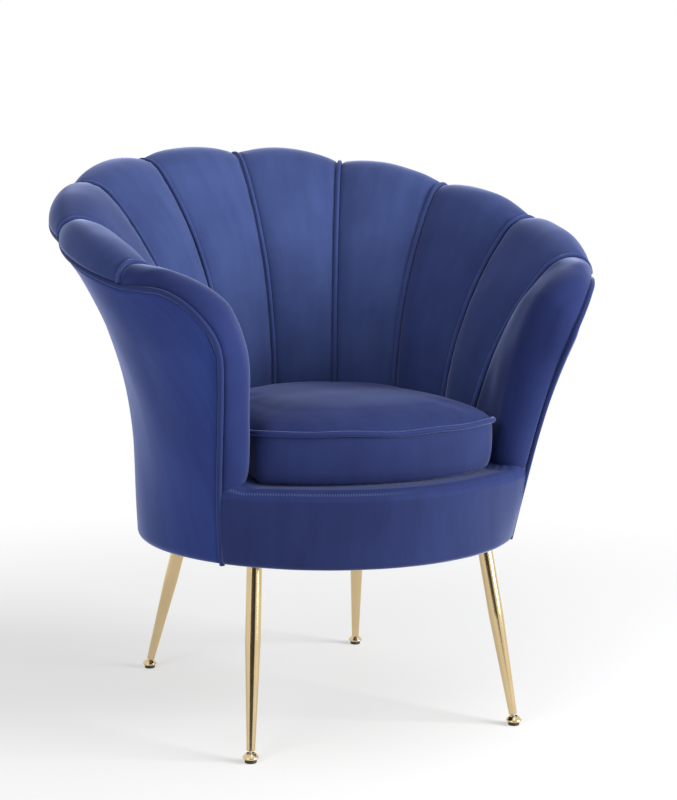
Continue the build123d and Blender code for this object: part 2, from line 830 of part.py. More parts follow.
def cushion_sections(skin):
    """Plans from the underside to the crown, drawn in by a skin: rounded below, waisted at the side."""
    stack = []
    for rise, draw, lift, inward in boxing_shape:
        height = cushion_bottom + cushion_height * rise + skin * lift
        stack.append((height, cushion_under_inset * draw + skin * inward))
    stack.append((zip_height, cushion_waist + skin))
    stack.append((cushion_edge_height - skin / 2, skin))
    for rise, draw, lift, inward in crown_shape:
        height = cushion_edge_height + cushion_crown * rise + skin * lift
        stack.append((height, cushion_crown_inset * draw + skin * inward))
    return [cushion_outline(height, inset) for height, inset in stack]


zip_radius = cushion_radius - cushion_waist
zip_low = zip_height - zip_opening / 2
zip_high = zip_height + zip_opening / 2


# Seat cushion: sewn cover with its zip opening, foam core and welt cord
with BuildPart() as cushion_cover:
    loft(cushion_sections(0), ruled=True)
    loft(cushion_sections(cushion_skin), ruled=True, mode=Mode.SUBTRACT)
    revolve(
        band_section(radial_plane(-zip_angle / 2), zip_radius - zip_cut, cover_radius, zip_low, zip_high),
        axis=tub_axis,
        revolution_arc=-zip_angle,
        mode=Mode.SUBTRACT,
    )
keep(cushion_cover, "cushion_cover")

with BuildPart() as cushion_core:
    loft(cushion_sections(cushion_skin + fit_gap), ruled=True)
keep(cushion_core, "cushion_core")

cord_line = cushion_outline(cushion_edge_height, -(cushion_cord / 2 + fit_gap)).wire()
with BuildPart() as cushion_piping:
    with BuildSketch(Plane(cord_line @ 0, z_dir=cord_line % 0)):
        Circle(cushion_cord / 2)
    sweep(path=cord_line)
keep(cushion_piping, "cushion_piping")

zip_inner = zip_radius - cushion_skin
with BuildPart() as zip_chain:
    revolve(
        band_section(
            radial_plane(-zip_angle / 2 + zip_end_room),
            zip_inner + fit_gap,
            zip_inner + fit_gap + zip_skin,
            zip_low + fit_gap,
            zip_high - fit_gap,
        ),
        axis=tub_axis,
        revolution_arc=-zip_angle + 2 * zip_end_room,
    )
keep(zip_chain, "zip_chain")

slider_inner = zip_inner + fit_gap + zip_skin + slider_gap
slider_arc = degrees(slider_width / zip_radius)
with BuildPart() as zip_slider:
    revolve(
        band_section(
            radial_plane(-zip_angle / 2 + 2 * zip_end_room),
            slider_inner,
            slider_inner + slider_skin,
            zip_low + slider_margin,
            zip_high - slider_margin,
        ),
        axis=tub_axis,
        revolution_arc=-slider_arc,
    )
keep(zip_slider, "zip_slider")


def upright_axis(place):
    return Axis((place[0], place[1], 0), (0, 0, 1))


# Screws through the leg plates and their insert nuts
with BuildPart() as leg_screws:
    with Locations(*[(x, y, plate_bottom) for x, y in screw_places]):
        Cylinder(screw_head_radius, screw_head_height, align=(Align.CENTER, Align.CENTER, Align.MAX))
        Cylinder(
            screw_radius,
            base_ring_top - plate_bottom,
            align=(Align.CENTER, Align.CENTER, Align.MIN),
        )
keep(leg_screws, "leg_screws")

with BuildPart() as insert_nuts:
    with Locations(*[(x, y, base_ring_top) for x, y in screw_places]):
        Cylinder(nut_flange_radius, nut_flange, align=(Align.CENTER, Align.CENTER, Align.MIN))
        Cylinder(nut_radius, nut_length, align=(Align.CENTER, Align.CENTER, Align.MAX))
        Cylinder(screw_radius + thread_gap, 2 * nut_length, mode=Mode.SUBTRACT)
keep(insert_nuts, "insert_nuts")

# Legs with their plates, and the levelling glides under them
for name in leg_names:
    ball = Vector(*leg_place(leg_feet[name]), ball_height)
    leg_end = Vector(*leg_place(leg_tops[name]), plate_bottom)
    rise = leg_end - ball
    length = rise.length
    side_way = rise.cross(Vector(0, 0, 1))
    leg_side = Plane(ball, x_dir=rise.cross(side_way), z_dir=side_way)
    leg_axis = Axis(ball, rise)
    taper_end = length * (1 - leg_straight_share)
    bore_end = collar_end + stem_bore_depth
    taper = (leg_radius - leg_end_radius) / (taper_end - collar_end)
    bore_end_radius = leg_end_radius + taper * (bore_end - collar_end) - leg_wall
    turn = plate_turns[name]
    plate_middle = leg_place((plate_radius * cos(turn), plate_radius * sin(turn)))
    with BuildPart() as leg:
        with BuildSketch(leg_side):
            with BuildLine():
                Polyline(
                    (-stem_radius - stem_gap, collar_end),
                    (-leg_end_radius, collar_end),
                    (-leg_radius, taper_end),
                    (-leg_radius, length + leg_radius),
                    (leg_wall - leg_radius, length + leg_radius),
                    (leg_wall - leg_radius, taper_end),
                    (-bore_end_radius, bore_end),
                    (-stem_radius - stem_gap, bore_end),
                    close=True,
                )
            make_face()
        revolve(axis=leg_axis)
        split(bisect_by=Plane.XY.offset(plate_bottom), keep=Keep.BOTTOM)
        with BuildSketch(Plane((*plate_middle, plate_bottom), x_dir=(cos(turn), sin(turn), 0))):
            RectangleRounded(plate_length, plate_width, plate_corner)
            with Locations((0, screw_spread), (0, -screw_spread)):
                Circle(screw_radius + screw_room, mode=Mode.SUBTRACT)
        extrude(amount=plate_skin)
    keep(leg, f"leg_{name}")

    with BuildPart() as stem:
        with BuildSketch(leg_side):
            with BuildLine():
                Polyline(
                    (0, 0),
                    (-neck_radius, 0),
                    (-neck_radius, collar_start),
                    (-collar_radius, collar_start),
                    (-collar_radius, collar_end),
                    (-stem_radius, collar_end),
                    (-stem_radius, collar_end + stem_depth),
                    (0, collar_end + stem_depth),
                    close=True,
                )
            make_face()
        revolve(axis=leg_axis)
        with Locations(ball):
            Sphere(ball_radius)
    keep(stem, f"glide_stem_{name}")

    foot_side = Plane((ball.X, ball.Y, 0), x_dir=(1, 0, 0), z_dir=(0, -1, 0))
    mouth_rise = glide_top - ball_height
    with BuildPart() as foot:
        with BuildSketch(foot_side):
            with BuildLine():
                Polyline(
                    (0, pad_height),
                    (pad_radius, pad_height),
                    (glide_radius, glide_waist),
                    (glide_top_radius, glide_top),
                    (mouth_rise * tan(radians(mouth_angle)), glide_top),
                    (0, ball_height),
                    close=True,
                )
            make_face()
        revolve(axis=upright_axis((ball.X, ball.Y)))
        with Locations(ball):
            Sphere(ball_radius + ball_gap, mode=Mode.SUBTRACT)
    keep(foot, f"glide_foot_{name}")

    with BuildPart() as pad:
        with Locations((ball.X, ball.Y, 0)):
            Cylinder(pad_radius, pad_height, align=(Align.CENTER, Align.CENTER, Align.MIN))
    keep(pad, f"glide_pad_{name}")
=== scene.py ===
import json
import bmesh
import bpy
import numpy as np
from mathutils import Matrix, Vector


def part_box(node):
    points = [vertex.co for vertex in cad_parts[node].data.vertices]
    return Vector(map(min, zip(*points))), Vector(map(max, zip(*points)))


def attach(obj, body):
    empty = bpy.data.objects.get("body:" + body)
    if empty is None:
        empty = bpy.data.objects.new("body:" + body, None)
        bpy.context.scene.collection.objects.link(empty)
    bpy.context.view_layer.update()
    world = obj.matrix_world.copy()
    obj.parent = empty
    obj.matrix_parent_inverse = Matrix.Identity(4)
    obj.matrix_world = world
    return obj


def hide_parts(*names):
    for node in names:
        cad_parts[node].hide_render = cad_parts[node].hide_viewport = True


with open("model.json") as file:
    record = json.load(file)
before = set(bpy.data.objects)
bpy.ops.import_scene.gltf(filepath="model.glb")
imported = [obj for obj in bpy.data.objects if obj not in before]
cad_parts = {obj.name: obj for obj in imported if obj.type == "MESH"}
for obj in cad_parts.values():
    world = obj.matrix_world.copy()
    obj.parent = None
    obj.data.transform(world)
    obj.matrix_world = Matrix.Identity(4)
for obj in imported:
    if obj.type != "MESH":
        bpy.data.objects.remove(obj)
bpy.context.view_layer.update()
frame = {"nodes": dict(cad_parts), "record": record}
joints = {joint["name"]: joint for joint in frame["record"]["behaviour"]["joints"]}
print("frame loaded, nodes:", len(frame["nodes"]))

ringLow, ringHigh = (np.array(corner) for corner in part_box("seat_ring"))
tub = {
    "axisY": (ringLow[1] + ringHigh[1]) / 2,  # the upright axis that the shell turns about
    "petalAngle": 28.0,
    "petalsEachSide": 4,
    "wall": 0.192,  # inner wall at a seam
    "flareRadius": 0.490,
    "flareMost": 0.95,  # the flare's height is limited to this share of its radius
    "flareLean": 40.0,
    "rollRadius": 0.050,
    "backRim": 0.781,
    "armRim": 0.636,
    "lipReach": 0.024,
    "lipDrop": 0.024,
    "coverRadius": 0.264,
    "coverDrop": 0.0332,  # crest to the cover's top edge
    "petalFoot": ringHigh[2] + 0.0003,
    "leanBack": 0.008,  # how far the soft shell gives way backwards at its rim
    "leanFrom": 0.42,  # the height where that starts
    "leanPower": 1.5,
}
seeds = {"pucker": 40, "petal": 80, "seam": 200, "arm": 400, "cover": 600, "band": 700, "cushion": 900}
channels = 2 * tub["petalsEachSide"]  # whole ones, between the two arms
lean = np.radians(tub["flareLean"])
flareRise = tub["flareRadius"] * np.sin(lean) + tub["rollRadius"] * (1 - np.sin(lean))
crestRadius = tub["wall"] + tub["flareRadius"] * (1 - np.cos(lean)) + tub["rollRadius"] * np.cos(lean)
lipRadius = crestRadius + tub["lipReach"]
armAngle = np.radians(tub["petalAngle"] * tub["petalsEachSide"])
rimSwing = (tub["backRim"] - tub["armRim"]) / (1 - np.cos(armAngle))


# Numbers and paths
def within(value):  # held between 0 and 1
    return np.clip(value, 0, 1)


def smoothed(share):  # from 0 to 1 with an even start and end
    return share**2 * (3 - 2 * share)


def unit(vectors):  # over their own length
    return vectors / np.linalg.norm(vectors, axis=-1, keepdims=True)


def lengthAlong(path):  # from the start of a path to each of its points
    return np.concatenate([[0], np.cumsum(np.linalg.norm(np.diff(path, axis=0), axis=1))])


def evenly(path, count):  # points at even lengths along a path
    length = lengthAlong(path)
    wanted = length[-1] * np.linspace(0, 1, count)
    return np.stack([np.interp(wanted, length, column) for column in path.T], axis=1)


# Shader sockets that can be added, multiplied and so on
class Wire:
    def __init__(self, tree, plug):
        self.tree = tree
        self.plug = plug

    def make(self, kind, settings=None, out=0, **values):  # any node: settings first, then its sockets
        node = self.tree.nodes.new(kind)
        for key, value in (settings or {}).items():
            setattr(node, key, value)
        for key, value in values.items():
            socket = node.inputs[int(key[1:])] if key[0] == "i" and key[1:].isdigit() else node.inputs[key]
            if isinstance(value, Wire):
                self.tree.links.new(value.plug, socket)
            else:
                socket.default_value = value
        return Wire(self.tree, node.outputs[out])

    def math(self, operation, first, second=0.0):
        return self.make("ShaderNodeMath", {"operation": operation}, i0=first, i1=second)

    def noise(self, place, scale, detail, rough=0.5):
        return self.make("ShaderNodeTexNoise", Vector=place, Scale=scale, Detail=detail, Roughness=rough)

    def __add__(self, other):
        return self.math("ADD", self, other)

    __radd__ = __add__

    def __mul__(self, other):
        return self.math("MULTIPLY", self, other)

    __rmul__ = __mul__

    def __sub__(self, other):
        return self.math("SUBTRACT", self, other)

    def __rsub__(self, other):
        return self.math("SUBTRACT", other, self)

    def over(self, level):
        return self.math("GREATER_THAN", self, level)

    def blend(self, dark, light):  # a colour between two, by this value
        settings = {"data_type": "RGBA", "clamp_factor": True}
        return self.make("ShaderNodeMix", settings, out=2, i0=self, i6=dark, i7=light)


def newFinish(name, fixed):
    material = bpy.data.materials.new(name)
    material.use_nodes = True
    tree = material.node_tree
    shader = tree.nodes["Principled BSDF"]
    for key, value in fixed.items():
        shader.inputs[key].default_value = value
    return material, Wire(tree, shader.outputs[0])


# Links what varies over a finish: its colour, its roughness and the height that its bumps come from
def closeFinish(material, kit, colour, rough, height, relief, reliefDepth):
    bump = kit.make("ShaderNodeBump", Strength=relief, Distance=reliefDepth, Height=height)
    sockets = kit.tree.nodes["Principled BSDF"].inputs
    for name, wire in (("Base Color", colour), ("Roughness", rough), ("Normal", bump)):
        kit.tree.links.new(wire.plug, sockets[name])
    return material


velvetLook = {
    "deep": (0.0075, 0.0140, 0.070, 1),
    "light": (0.026, 0.042, 0.160, 1),
    "napScale": 7.0,
    "napShare": 0.9,  # shares of nap, streaks and pile in the step from deep to light
    "streakScale": 46.0,
    "streakShare": 0.55,
    "streakLong": 0.16,  # less is longer
    "pileScale": 900.0,
    "pileShare": 0.35,
    "darker": 0.42,
    "rough": 0.74,
    "roughNap": 0.16,
    "specular": 0.18,
    "sheen": 0.9,
    "sheenRough": 0.32,
    "sheenTint": (0.50, 0.58, 0.92, 1),
    "relief": 0.22,
    "reliefDepth": 0.0008,
    "pileRelief": 0.5,
    "streakRelief": 0.35,
}
stitches = {
    "line": 0.1262,  # along the band's profile, from the hem
    "half": 0.0018,
    "pitch": 0.0034,
    "gap": 0.55,  # of the pitch
    "shown": 0.06,  # across from the band's middle: whole beyond this
    "gone": -0.01,  # none beyond this
    "thread": 0.085,
    "relief": 0.3,
}


# Velvet: nap, streaks along the cloth and fine pile are added up and choose between a deep and a light blue
def velvet(name, lighter=1.0, sheen=1.0, sewn=False):
    look = velvetLook
    tone = np.ones(3) * lighter
    weight = sheen * look["sheen"]
    tint = np.minimum(1.0, np.array(look["sheenTint"]) * max(weight, 1.0)).tolist()
    deep, light = ((*(tone * look[key][:3]).tolist(), 1.0) for key in ("deep", "light"))
    material, kit = newFinish(name, {
        "Specular IOR Level": look["specular"], "Sheen Weight": min(weight, 1.0),
        "Sheen Roughness": look["sheenRough"], "Sheen Tint": tint,
    })
    place = kit.make("ShaderNodeTexCoord", out=3)
    lay = kit.make("ShaderNodeUVMap", {"uv_map": "lay"})
    drawn = kit.make("ShaderNodeMapping", Vector=lay, Scale=(1.0, look["streakLong"], 1.0))
    nap = kit.noise(place, look["napScale"], 3.0, 0.55)
    streak = kit.noise(drawn, look["streakScale"], 4.0, 0.6)
    pile = kit.noise(place, look["pileScale"], 2.0, 0.7)
    brushed = nap * look["napShare"] + streak * look["streakShare"] + pile * look["pileShare"]
    colour = (brushed - look["darker"]).blend(deep, light)
    height = pile * look["pileRelief"] + streak * look["streakRelief"]
    if sewn:  # short upright stitches in the front band's top seam
        across, along = (kit.make("ShaderNodeSeparateXYZ", Vector=lay, out=k) for k in range(2))
        beat = kit.math("FRACT", across * (1 / stitches["pitch"])).over(stitches["gap"])
        inBand = (kit.math("ABSOLUTE", along - stitches["line"]) * -1.0).over(-stitches["half"])
        limits = {"i1": stitches["shown"], "i2": stitches["gone"], "i3": 1.0, "i4": 0.0}
        thread = beat * inBand * kit.make("ShaderNodeMapRange", i0=across, **limits)
        colour = (thread * stitches["thread"]).blend(colour, look["sheenTint"])
        height = height + thread * stitches["relief"]
    rough = look["rough"] + nap * look["roughNap"]
    return closeFinish(material, kit, colour, rough, height, look["relief"], look["reliefDepth"])


goldLook = {
    "dark": (0.62, 0.47, 0.26, 1),
    "light": (0.70, 0.55, 0.32, 1),
    "edgeTint": (1.0, 0.93, 0.75, 1),
    "cloudScale": 26.0,
    "scuffScale": 420.0,
    "rough": 0.1,
    "roughCloud": 0.06,
    "roughScuff": 0.05,
    "relief": 0.03,
    "reliefDepth": 0.0003,
}


# Polished gold: clouds choose between two tones, clouds and scuffs add to the roughness
def gold(name):
    look = goldLook
    material, kit = newFinish(name, {"Metallic": 1.0, "Specular Tint": look["edgeTint"]})
    place = kit.make("ShaderNodeTexCoord", out=3)
    cloud = kit.noise(place, look["cloudScale"], 3.0)
    scuff = kit.noise(place, look["scuffScale"], 2.0)
    colour = cloud.blend(look["dark"], look["light"])
    rough = look["rough"] + cloud * look["roughCloud"] + scuff * look["roughScuff"]
    return closeFinish(material, kit, colour, rough, scuff, look["relief"], look["reliefDepth"])


plainLook = {"roughGrain": 0.15, "reliefDepth": 0.0006}


# A plain material: one grain chooses between two tones and adds to the roughness
def plainFinish(name, dark, light, scale, rough, stretch=(1, 1, 1), metal=0.0, relief=0.1):
    material, kit = newFinish(name, {"Metallic": metal})
    place = kit.make("ShaderNodeMapping", Vector=kit.make("ShaderNodeTexCoord", out=3), Scale=stretch)
    grain = kit.noise(place, scale, 4.0, 0.6)
    colour = grain.blend(dark, light)
    rough = rough + grain * plainLook["roughGrain"]
    return closeFinish(material, kit, colour, rough, grain, relief, plainLook["reliefDepth"])


weaveLook = {"specular": 0.2, "rough": 0.8, "roughWeave": 0.1, "relief": 0.2, "reliefDepth": 0.0005}


# Woven cloth: the product of two waves that cross each other
def wovenCloth(name, dark, light, pitch):
    look = weaveLook
    material, kit = newFinish(name, {"Specular IOR Level": look["specular"]})
    place = kit.make("ShaderNodeTexCoord", out=3)
    x, y, z = (kit.make("ShaderNodeSeparateXYZ", Vector=place, out=k) for k in range(3))
    warp, weft = (kit.math("SINE", across * (2 * np.pi / pitch)) for across in (x, y + z))
    weave = warp * weft * 0.5 + 0.5
    colour = weave.blend(dark, light)
    rough = look["rough"] + weave * look["roughWeave"]
    return closeFinish(material, kit, colour, rough, weave, look["relief"], look["reliefDepth"])


finishes = {
    "velvet": velvet("velvet", lighter=(0.78, 0.84, 0.95)),
    "velvetOuter": velvet("velvetOuter", lighter=(1.0, 1.2, 1.4)),
    # the seam cords: the velvet painted lighter, a painted highlight for the sheen that the thin cords catch
    "velvetSeamPaintedHighlight": velvet("velvetSeamPaintedHighlight", lighter=(2.0, 1.95, 1.6)),
    # the back's channels: the same velvet painted lighter, for the light that falls on the back
    "velvetBackPaintedLit": velvet("velvetBackPaintedLit", lighter=(2.3, 2.2, 1.62)),
    # the outer channels: the back's velvet painted darker, as painted shade for the light that reaches them
    # less
    "velvetSidePaintedShade": velvet("velvetSidePaintedShade", lighter=(1.6, 1.55, 1.3)),
    "velvetSeat": velvet("velvetSeat", lighter=0.9, sheen=1.2),
    "velvetTop": velvet("velvetTop", sheen=0.26),
    "velvet_welt": velvet("velvetWelt", sheen=0.7),
    "stitched": velvet("velvetStitched", lighter=0.85, sheen=1.3, sewn=True),
    "stitchedTop": velvet("velvetStitchedTop", sheen=0.2, sewn=True),
    "gold": gold("polishedGold"),
    "glide_pad": plainFinish("blackPad", (0.012, 0.012, 0.012, 1), (0.03, 0.03, 0.03, 1), 300.0, 0.5),
    "frame_wood": plainFinish("plywood", (0.45, 0.31, 0.17, 1), (0.68, 0.52, 0.33, 1), 22.0, 0.55, (1, 1, 9)),
    "black_cloth": wovenCloth("blackCloth", (0.008, 0.008, 0.009, 1), (0.03, 0.03, 0.032, 1), 0.0024),
    "deck_cloth": wovenCloth("deckCloth", (0.008, 0.012, 0.05, 1), (0.02, 0.028, 0.09, 1), 0.0018),
    "foam": plainFinish("foam", (0.75, 0.7, 0.55, 1), (0.9, 0.87, 0.74, 1), 500.0, 0.8, relief=0.4),
    "steel": plainFinish("zincSteel", (0.45, 0.45, 0.46, 1), (0.62, 0.62, 0.62, 1), 180.0, 0.28, metal=1.0),
    "zip_teeth": wovenCloth("zipCoil", (0.006, 0.008, 0.03, 1), (0.03, 0.04, 0.12, 1), 0.0026),
    "zip_metal": plainFinish("zipEnamel", (0.02, 0.026, 0.09, 1), (0.03, 0.04, 0.12, 1), 200.0, 0.3),
}
print("finishes made:", len(finishes))


# Meshes
def gridQuads(rows, columns, wrap=False, start=0):
    index = start + np.arange(rows * columns).reshape(rows, columns)
    if wrap:
        index = np.concatenate([index, index[:, :1]], axis=1)
    return np.stack([index[:-1, :-1], index[:-1, 1:], index[1:, 1:], index[1:, :-1]], axis=-1).reshape(-1, 4)


def tubeFaces(rows, columns, start=0):  # rings joined into a tube, with both ends closed
    end = start + rows * columns
    caps = [list(range(start, start + columns))[::-1], list(range(end - columns, end))]
    return gridQuads(rows, columns, wrap=True, start=start).tolist() + caps


def meshPoints(mesh):
    points = np.empty(len(mesh.vertices) * 3)
    mesh.vertices.foreach_get("co", points)
    return points.reshape(-1, 3)


def setLay(mesh, lay):  # lengths along the cloth, as the mesh's UV map
    corner = np.empty(len(mesh.loops), dtype=np.int32)
    mesh.loops.foreach_get("vertex_index", corner)
    layer = mesh.uv_layers.new(name="lay")
    layer.data.foreach_set("uv", np.asarray(lay, dtype=np.float32)[corner].ravel())


def shadeSmooth(mesh):
    mesh.polygons.foreach_set("use_smooth", np.ones(len(mesh.polygons), dtype=bool))
    mesh.update()


def meshPiece(name, points, faces, lay=None):
    mesh = bpy.data.meshes.new(name)
    mesh.from_pydata(points.tolist(), [], faces)
    if lay is not None:
        setLay(mesh, lay)
    shell = bmesh.new()
    shell.from_mesh(mesh)
    bmesh.ops.remove_doubles(shell, verts=shell.verts, dist=1e-6)
    bmesh.ops.recalc_face_normals(shell, faces=shell.faces)
    shell.to_mesh(mesh)
    shell.free()
    shadeSmooth(mesh)
    piece = bpy.data.objects.new(name, mesh)
    bpy.context.scene.collection.objects.link(piece)
    return piece


# A closed pad from an outer and an inner grid of the same size: both faces and a wall round their border
def padPiece(name, outer, inner, flat):
    rows, columns = outer.shape[:2]
    count = rows * columns
    index = np.arange(count).reshape(rows, columns)
    border = np.concatenate([index[0, :-1], index[:-1, -1], index[-1, :0:-1], index[:0:-1, 0]])
    after = np.roll(border, -1)
    wall = np.stack([border, border + count, after + count, after], axis=-1)
    quads = np.concatenate([gridQuads(rows, columns), gridQuads(rows, columns, start=count)[:, ::-1], wall])
    points = np.concatenate([outer.reshape(-1, 3), inner.reshape(-1, 3)])
    return meshPiece(name, points, quads.tolist(), np.concatenate([flat.reshape(-1, 2)] * 2))


# A round cord: rings square to the path, turned towards a guide direction, as a loop or with both ends closed
def cordPiece(name, path, guide, radius, sides=14, loop=False):
    if loop:
        along = np.roll(path, -1, axis=0) - np.roll(path, 1, axis=0)
    else:
        along = np.gradient(path, axis=0)
    along = unit(along)
    first = unit(guide - along * np.sum(guide * along, axis=1, keepdims=True))
    second = np.cross(along, first)
    turn = np.linspace(0, 2 * np.pi, sides, endpoint=False)
    ring = np.cos(turn)[None, :, None] * first[:, None] + np.sin(turn)[None, :, None] * second[:, None]
    points = (path[:, None] + ring * radius).reshape(-1, 3)
    lay = np.stack(np.broadcast_arrays((turn * radius)[None, :], lengthAlong(path)[:, None]), axis=-1)
    if loop:
        last = (len(path) - 1) * sides + np.arange(sides)
        head = np.arange(sides)
        closing = np.stack([last, np.roll(last, -1), np.roll(head, -1), head], axis=-1)
        faces = np.concatenate([gridQuads(len(path), sides, wrap=True), closing]).tolist()
    else:
        faces = tubeFaces(len(path), sides)
    return meshPiece(name, points, faces, lay.reshape(-1, 2))


def dress(piece, body, finish, node):
    piece.data.materials.append(finishes[finish])
    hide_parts(node)
    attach(piece, body)


# Faces above a level, or under a low one, have their pile brushed flat
def layTop(piece, finish, level, low=0.0):
    middle = np.empty(len(piece.data.polygons) * 3)
    piece.data.polygons.foreach_get("center", middle)
    height = middle[2::3]
    piece.data.materials.append(finishes[finish])
    piece.data.polygons.foreach_set("material_index", ((height > level) | (height < low)).astype(np.int32))


# Soft unevenness: a seeded sum of waves over two lengths in metres, between about -1 and 1
def uneven(flat, seed, sizes, waves=9):
    dice = np.random.default_rng(seed)
    total = np.zeros(flat.shape[:-1])
    for _ in range(waves):
        size = dice.uniform(*sizes)
        turn = dice.uniform(0, 2 * np.pi)
        phase = dice.uniform(0, 2 * np.pi)
        across = flat[..., 0] * np.cos(turn) + flat[..., 1] * np.sin(turn)
        total = total + np.cos(2 * np.pi * across / size + phase)
    return total / np.sqrt(waves * 2)


# Shell surface
def rimHeight(angle):  # falls from the back to the arms with the angle's cosine
    return tub["backRim"] - rimSwing * (1 - np.cos(angle))


def seamAngle(index):  # even steps, with 0 at the middle of the back
    return np.radians(tub["petalAngle"] * (index - 1 - tub["petalsEachSide"]))


def fromTub(radius, angle, height):  # points from the distance and the angle about the tub's axis
    aside, behind = radius * np.sin(angle), tub["axisY"] + radius * np.cos(angle)
    return np.stack(np.broadcast_arrays(aside, behind, height), axis=-1)


# The wall's curve in radius and height for each angle: straight up, an arc outwards, the rolled rim, its lip.
# swell moves it into the tub, lip moves its outer end, counts are the points of its four stretches.
def wallCurve(angle, swell, lip, counts):
    crest = rimHeight(angle)
    bend = crest - flareRise
    wall, flare, roll = tub["wall"], tub["flareRadius"], tub["rollRadius"]
    share = np.linspace(0, 1, counts[0], endpoint=False)[:, None]
    upright = (wall - swell + 0 * share, tub["petalFoot"] + share * (bend - tub["petalFoot"]))
    turn = np.linspace(0, lean, counts[1], endpoint=False)[:, None]
    flared = (wall + flare - (flare + swell) * np.cos(turn), bend + (flare + swell) * np.sin(turn))
    turn = np.linspace(lean, np.pi / 2, counts[2], endpoint=False)[:, None]
    rolled = (crestRadius - (roll + swell) * np.cos(turn), crest - roll + (roll + swell) * np.sin(turn))
    turn = np.linspace(0, np.pi / 2, counts[3])[:, None]
    lipped = (crestRadius + (tub["lipReach"] + lip) * np.sin(turn),
              crest - tub["lipDrop"] + (tub["lipDrop"] + swell) * np.cos(turn))
    radius = np.concatenate([part[0] + 0 * swell for part in (upright, flared, rolled, lipped)])
    height = np.concatenate([part[1] + 0 * swell for part in (upright, flared, rolled, lipped)])
    return radius, height


def leanBack(points):  # by a power of the height between leanFrom and the rim
    up = within((points[..., 2] - tub["leanFrom"]) / (tub["backRim"] - tub["leanFrom"]))
    return points + (tub["leanBack"] * up ** tub["leanPower"])[..., None] * np.array([0, 1.0, 0])


def surfaceLay(grid):  # lengths along the rows, from their middle, and along the columns, in metres
    across = np.linalg.norm(np.diff(grid, axis=1), axis=2)
    along = np.linalg.norm(np.diff(grid, axis=0), axis=2)
    across = np.concatenate([np.zeros((len(grid), 1)), np.cumsum(across, axis=1)], axis=1)
    along = np.concatenate([np.zeros((1, grid.shape[1])), np.cumsum(along, axis=0)], axis=0)
    return np.stack([across - across[:, -1:] / 2, along], axis=-1)


petal = {
    "swell": 0.0135,
    "lipSwell": 0.0085,
    "roundness": 2.3,  # 2 is a plain arch, more is fuller beside the seams
    "groove": 0.0030,  # how deep the seam pulls the cloth in
    "grooveWidth": 0.0055,
    "pad": 0.018,
    "lipPad": 0.012,
    "rows": (8, 44, 16, 14),
    "columns": 41,
    "softness": 0.0009,
    "softSizes": (0.06, 0.16),
    "pucker": 0.0007,
    "puckerSizes": (0.014, 0.03),
    "puckerAt": 0.009,  # from the seam
    "puckerWidth": 0.008,
    "puckerLong": (0.5, 1.0),  # puckers are drawn out across the channel
    "fill": 0.8,
    "sides": (2, 3, 8, 9),  # channels in the side finish, painted darker as shade; the others have the back's, painted lighter
}


# One channel: an arch across it, pulled in along both seams, with faint unevenness
def petalPiece(index):
    turn = np.radians(tub["petalAngle"])
    share = 0.5 - 0.5 * np.cos(np.linspace(0, np.pi, petal["columns"]))
    angle = seamAngle(index - 1) + share * turn
    arch = 1 - np.abs(2 * share - 1) ** petal["roundness"]
    radius, height = wallCurve(angle, petal["swell"] * arch, petal["lipSwell"] * arch, petal["rows"])
    flat = surfaceLay(fromTub(radius, angle, height))
    gap = np.minimum(share, 1 - share) * (radius * turn)
    pull = -petal["groove"] * np.exp(-(gap / petal["grooveWidth"]) ** 2)
    ripple = uneven(flat * petal["puckerLong"], seeds["pucker"] + index, petal["puckerSizes"])
    pull += petal["pucker"] * ripple * np.exp(-((gap - petal["puckerAt"]) / petal["puckerWidth"]) ** 2)
    pull += petal["softness"] * uneven(flat, seeds["petal"] + index, petal["softSizes"]) * arch
    rows = np.gradient(radius, axis=0), np.gradient(height, axis=0)
    size = np.hypot(*rows)
    radius, height = radius - pull * rows[1] / size, height + pull * rows[0] / size
    front = fromTub(radius, angle, height)
    radius, height = wallCurve(angle, 0 * arch - petal["pad"], 0 * arch - petal["lipPad"], petal["rows"])
    back = fromTub(radius, angle, height)
    piece = padPiece(f"channel{index:02d}", leanBack(front), leanBack(back), flat)
    # painted light: outer channels get the shaded copy of the velvet, the others the lighter lit copy
    finish = "velvetSidePaintedShade" if index in petal["sides"] else "velvetBackPaintedLit"
    dress(piece, "chair", finish, f"petal_{index:02d}")


for index in range(2, channels + 2):
    petalPiece(index)
print("shell channels made")

welt = {
    "seamRadius": 0.0032,
    "seamRows": (10, 60, 24, 20),
    "proud": 0.0016,
    "wander": 0.0004,
    "wanderSizes": (0.05, 0.15),
    "edgeRadius": 0.0037,
    "edgeSink": 0.9,  # radii that the edge cord lies inside the lip
    "edgeCounts": (24, 620),  # points for each channel of the rim, and in all
    "edgeEased": 3,  # passes that smooth its path
}


def seamPath(angle, proud):  # up the wall and over the rim
    angle = np.array([angle])
    radius, height = wallCurve(angle, np.array([proud]), 0 * angle, welt["seamRows"])
    return fromTub(radius, angle, height)[:, 0]


# A seam's cord lies on the wall's curve, a little proud of it
def seamCord(index):
    angle = seamAngle(index)
    path = seamPath(angle, welt["proud"])
    sideways = np.array([np.cos(angle), -np.sin(angle), 0.0])
    length = lengthAlong(path)
    flat = np.stack([length, 0 * length], axis=1)
    wander = welt["wander"] * uneven(flat, seeds["seam"] + index, welt["wanderSizes"])
    path = path + sideways * wander[:, None]
    guide = np.broadcast_to(sideways, path.shape)
    piece = cordPiece(f"seamCord{index}", leanBack(path), guide, welt["seamRadius"])
    dress(piece, "chair", "velvetSeamPaintedHighlight", f"seam_piping_{index}")


for index in range(1, channels + 2):
    seamCord(index)
print("seam cords made")

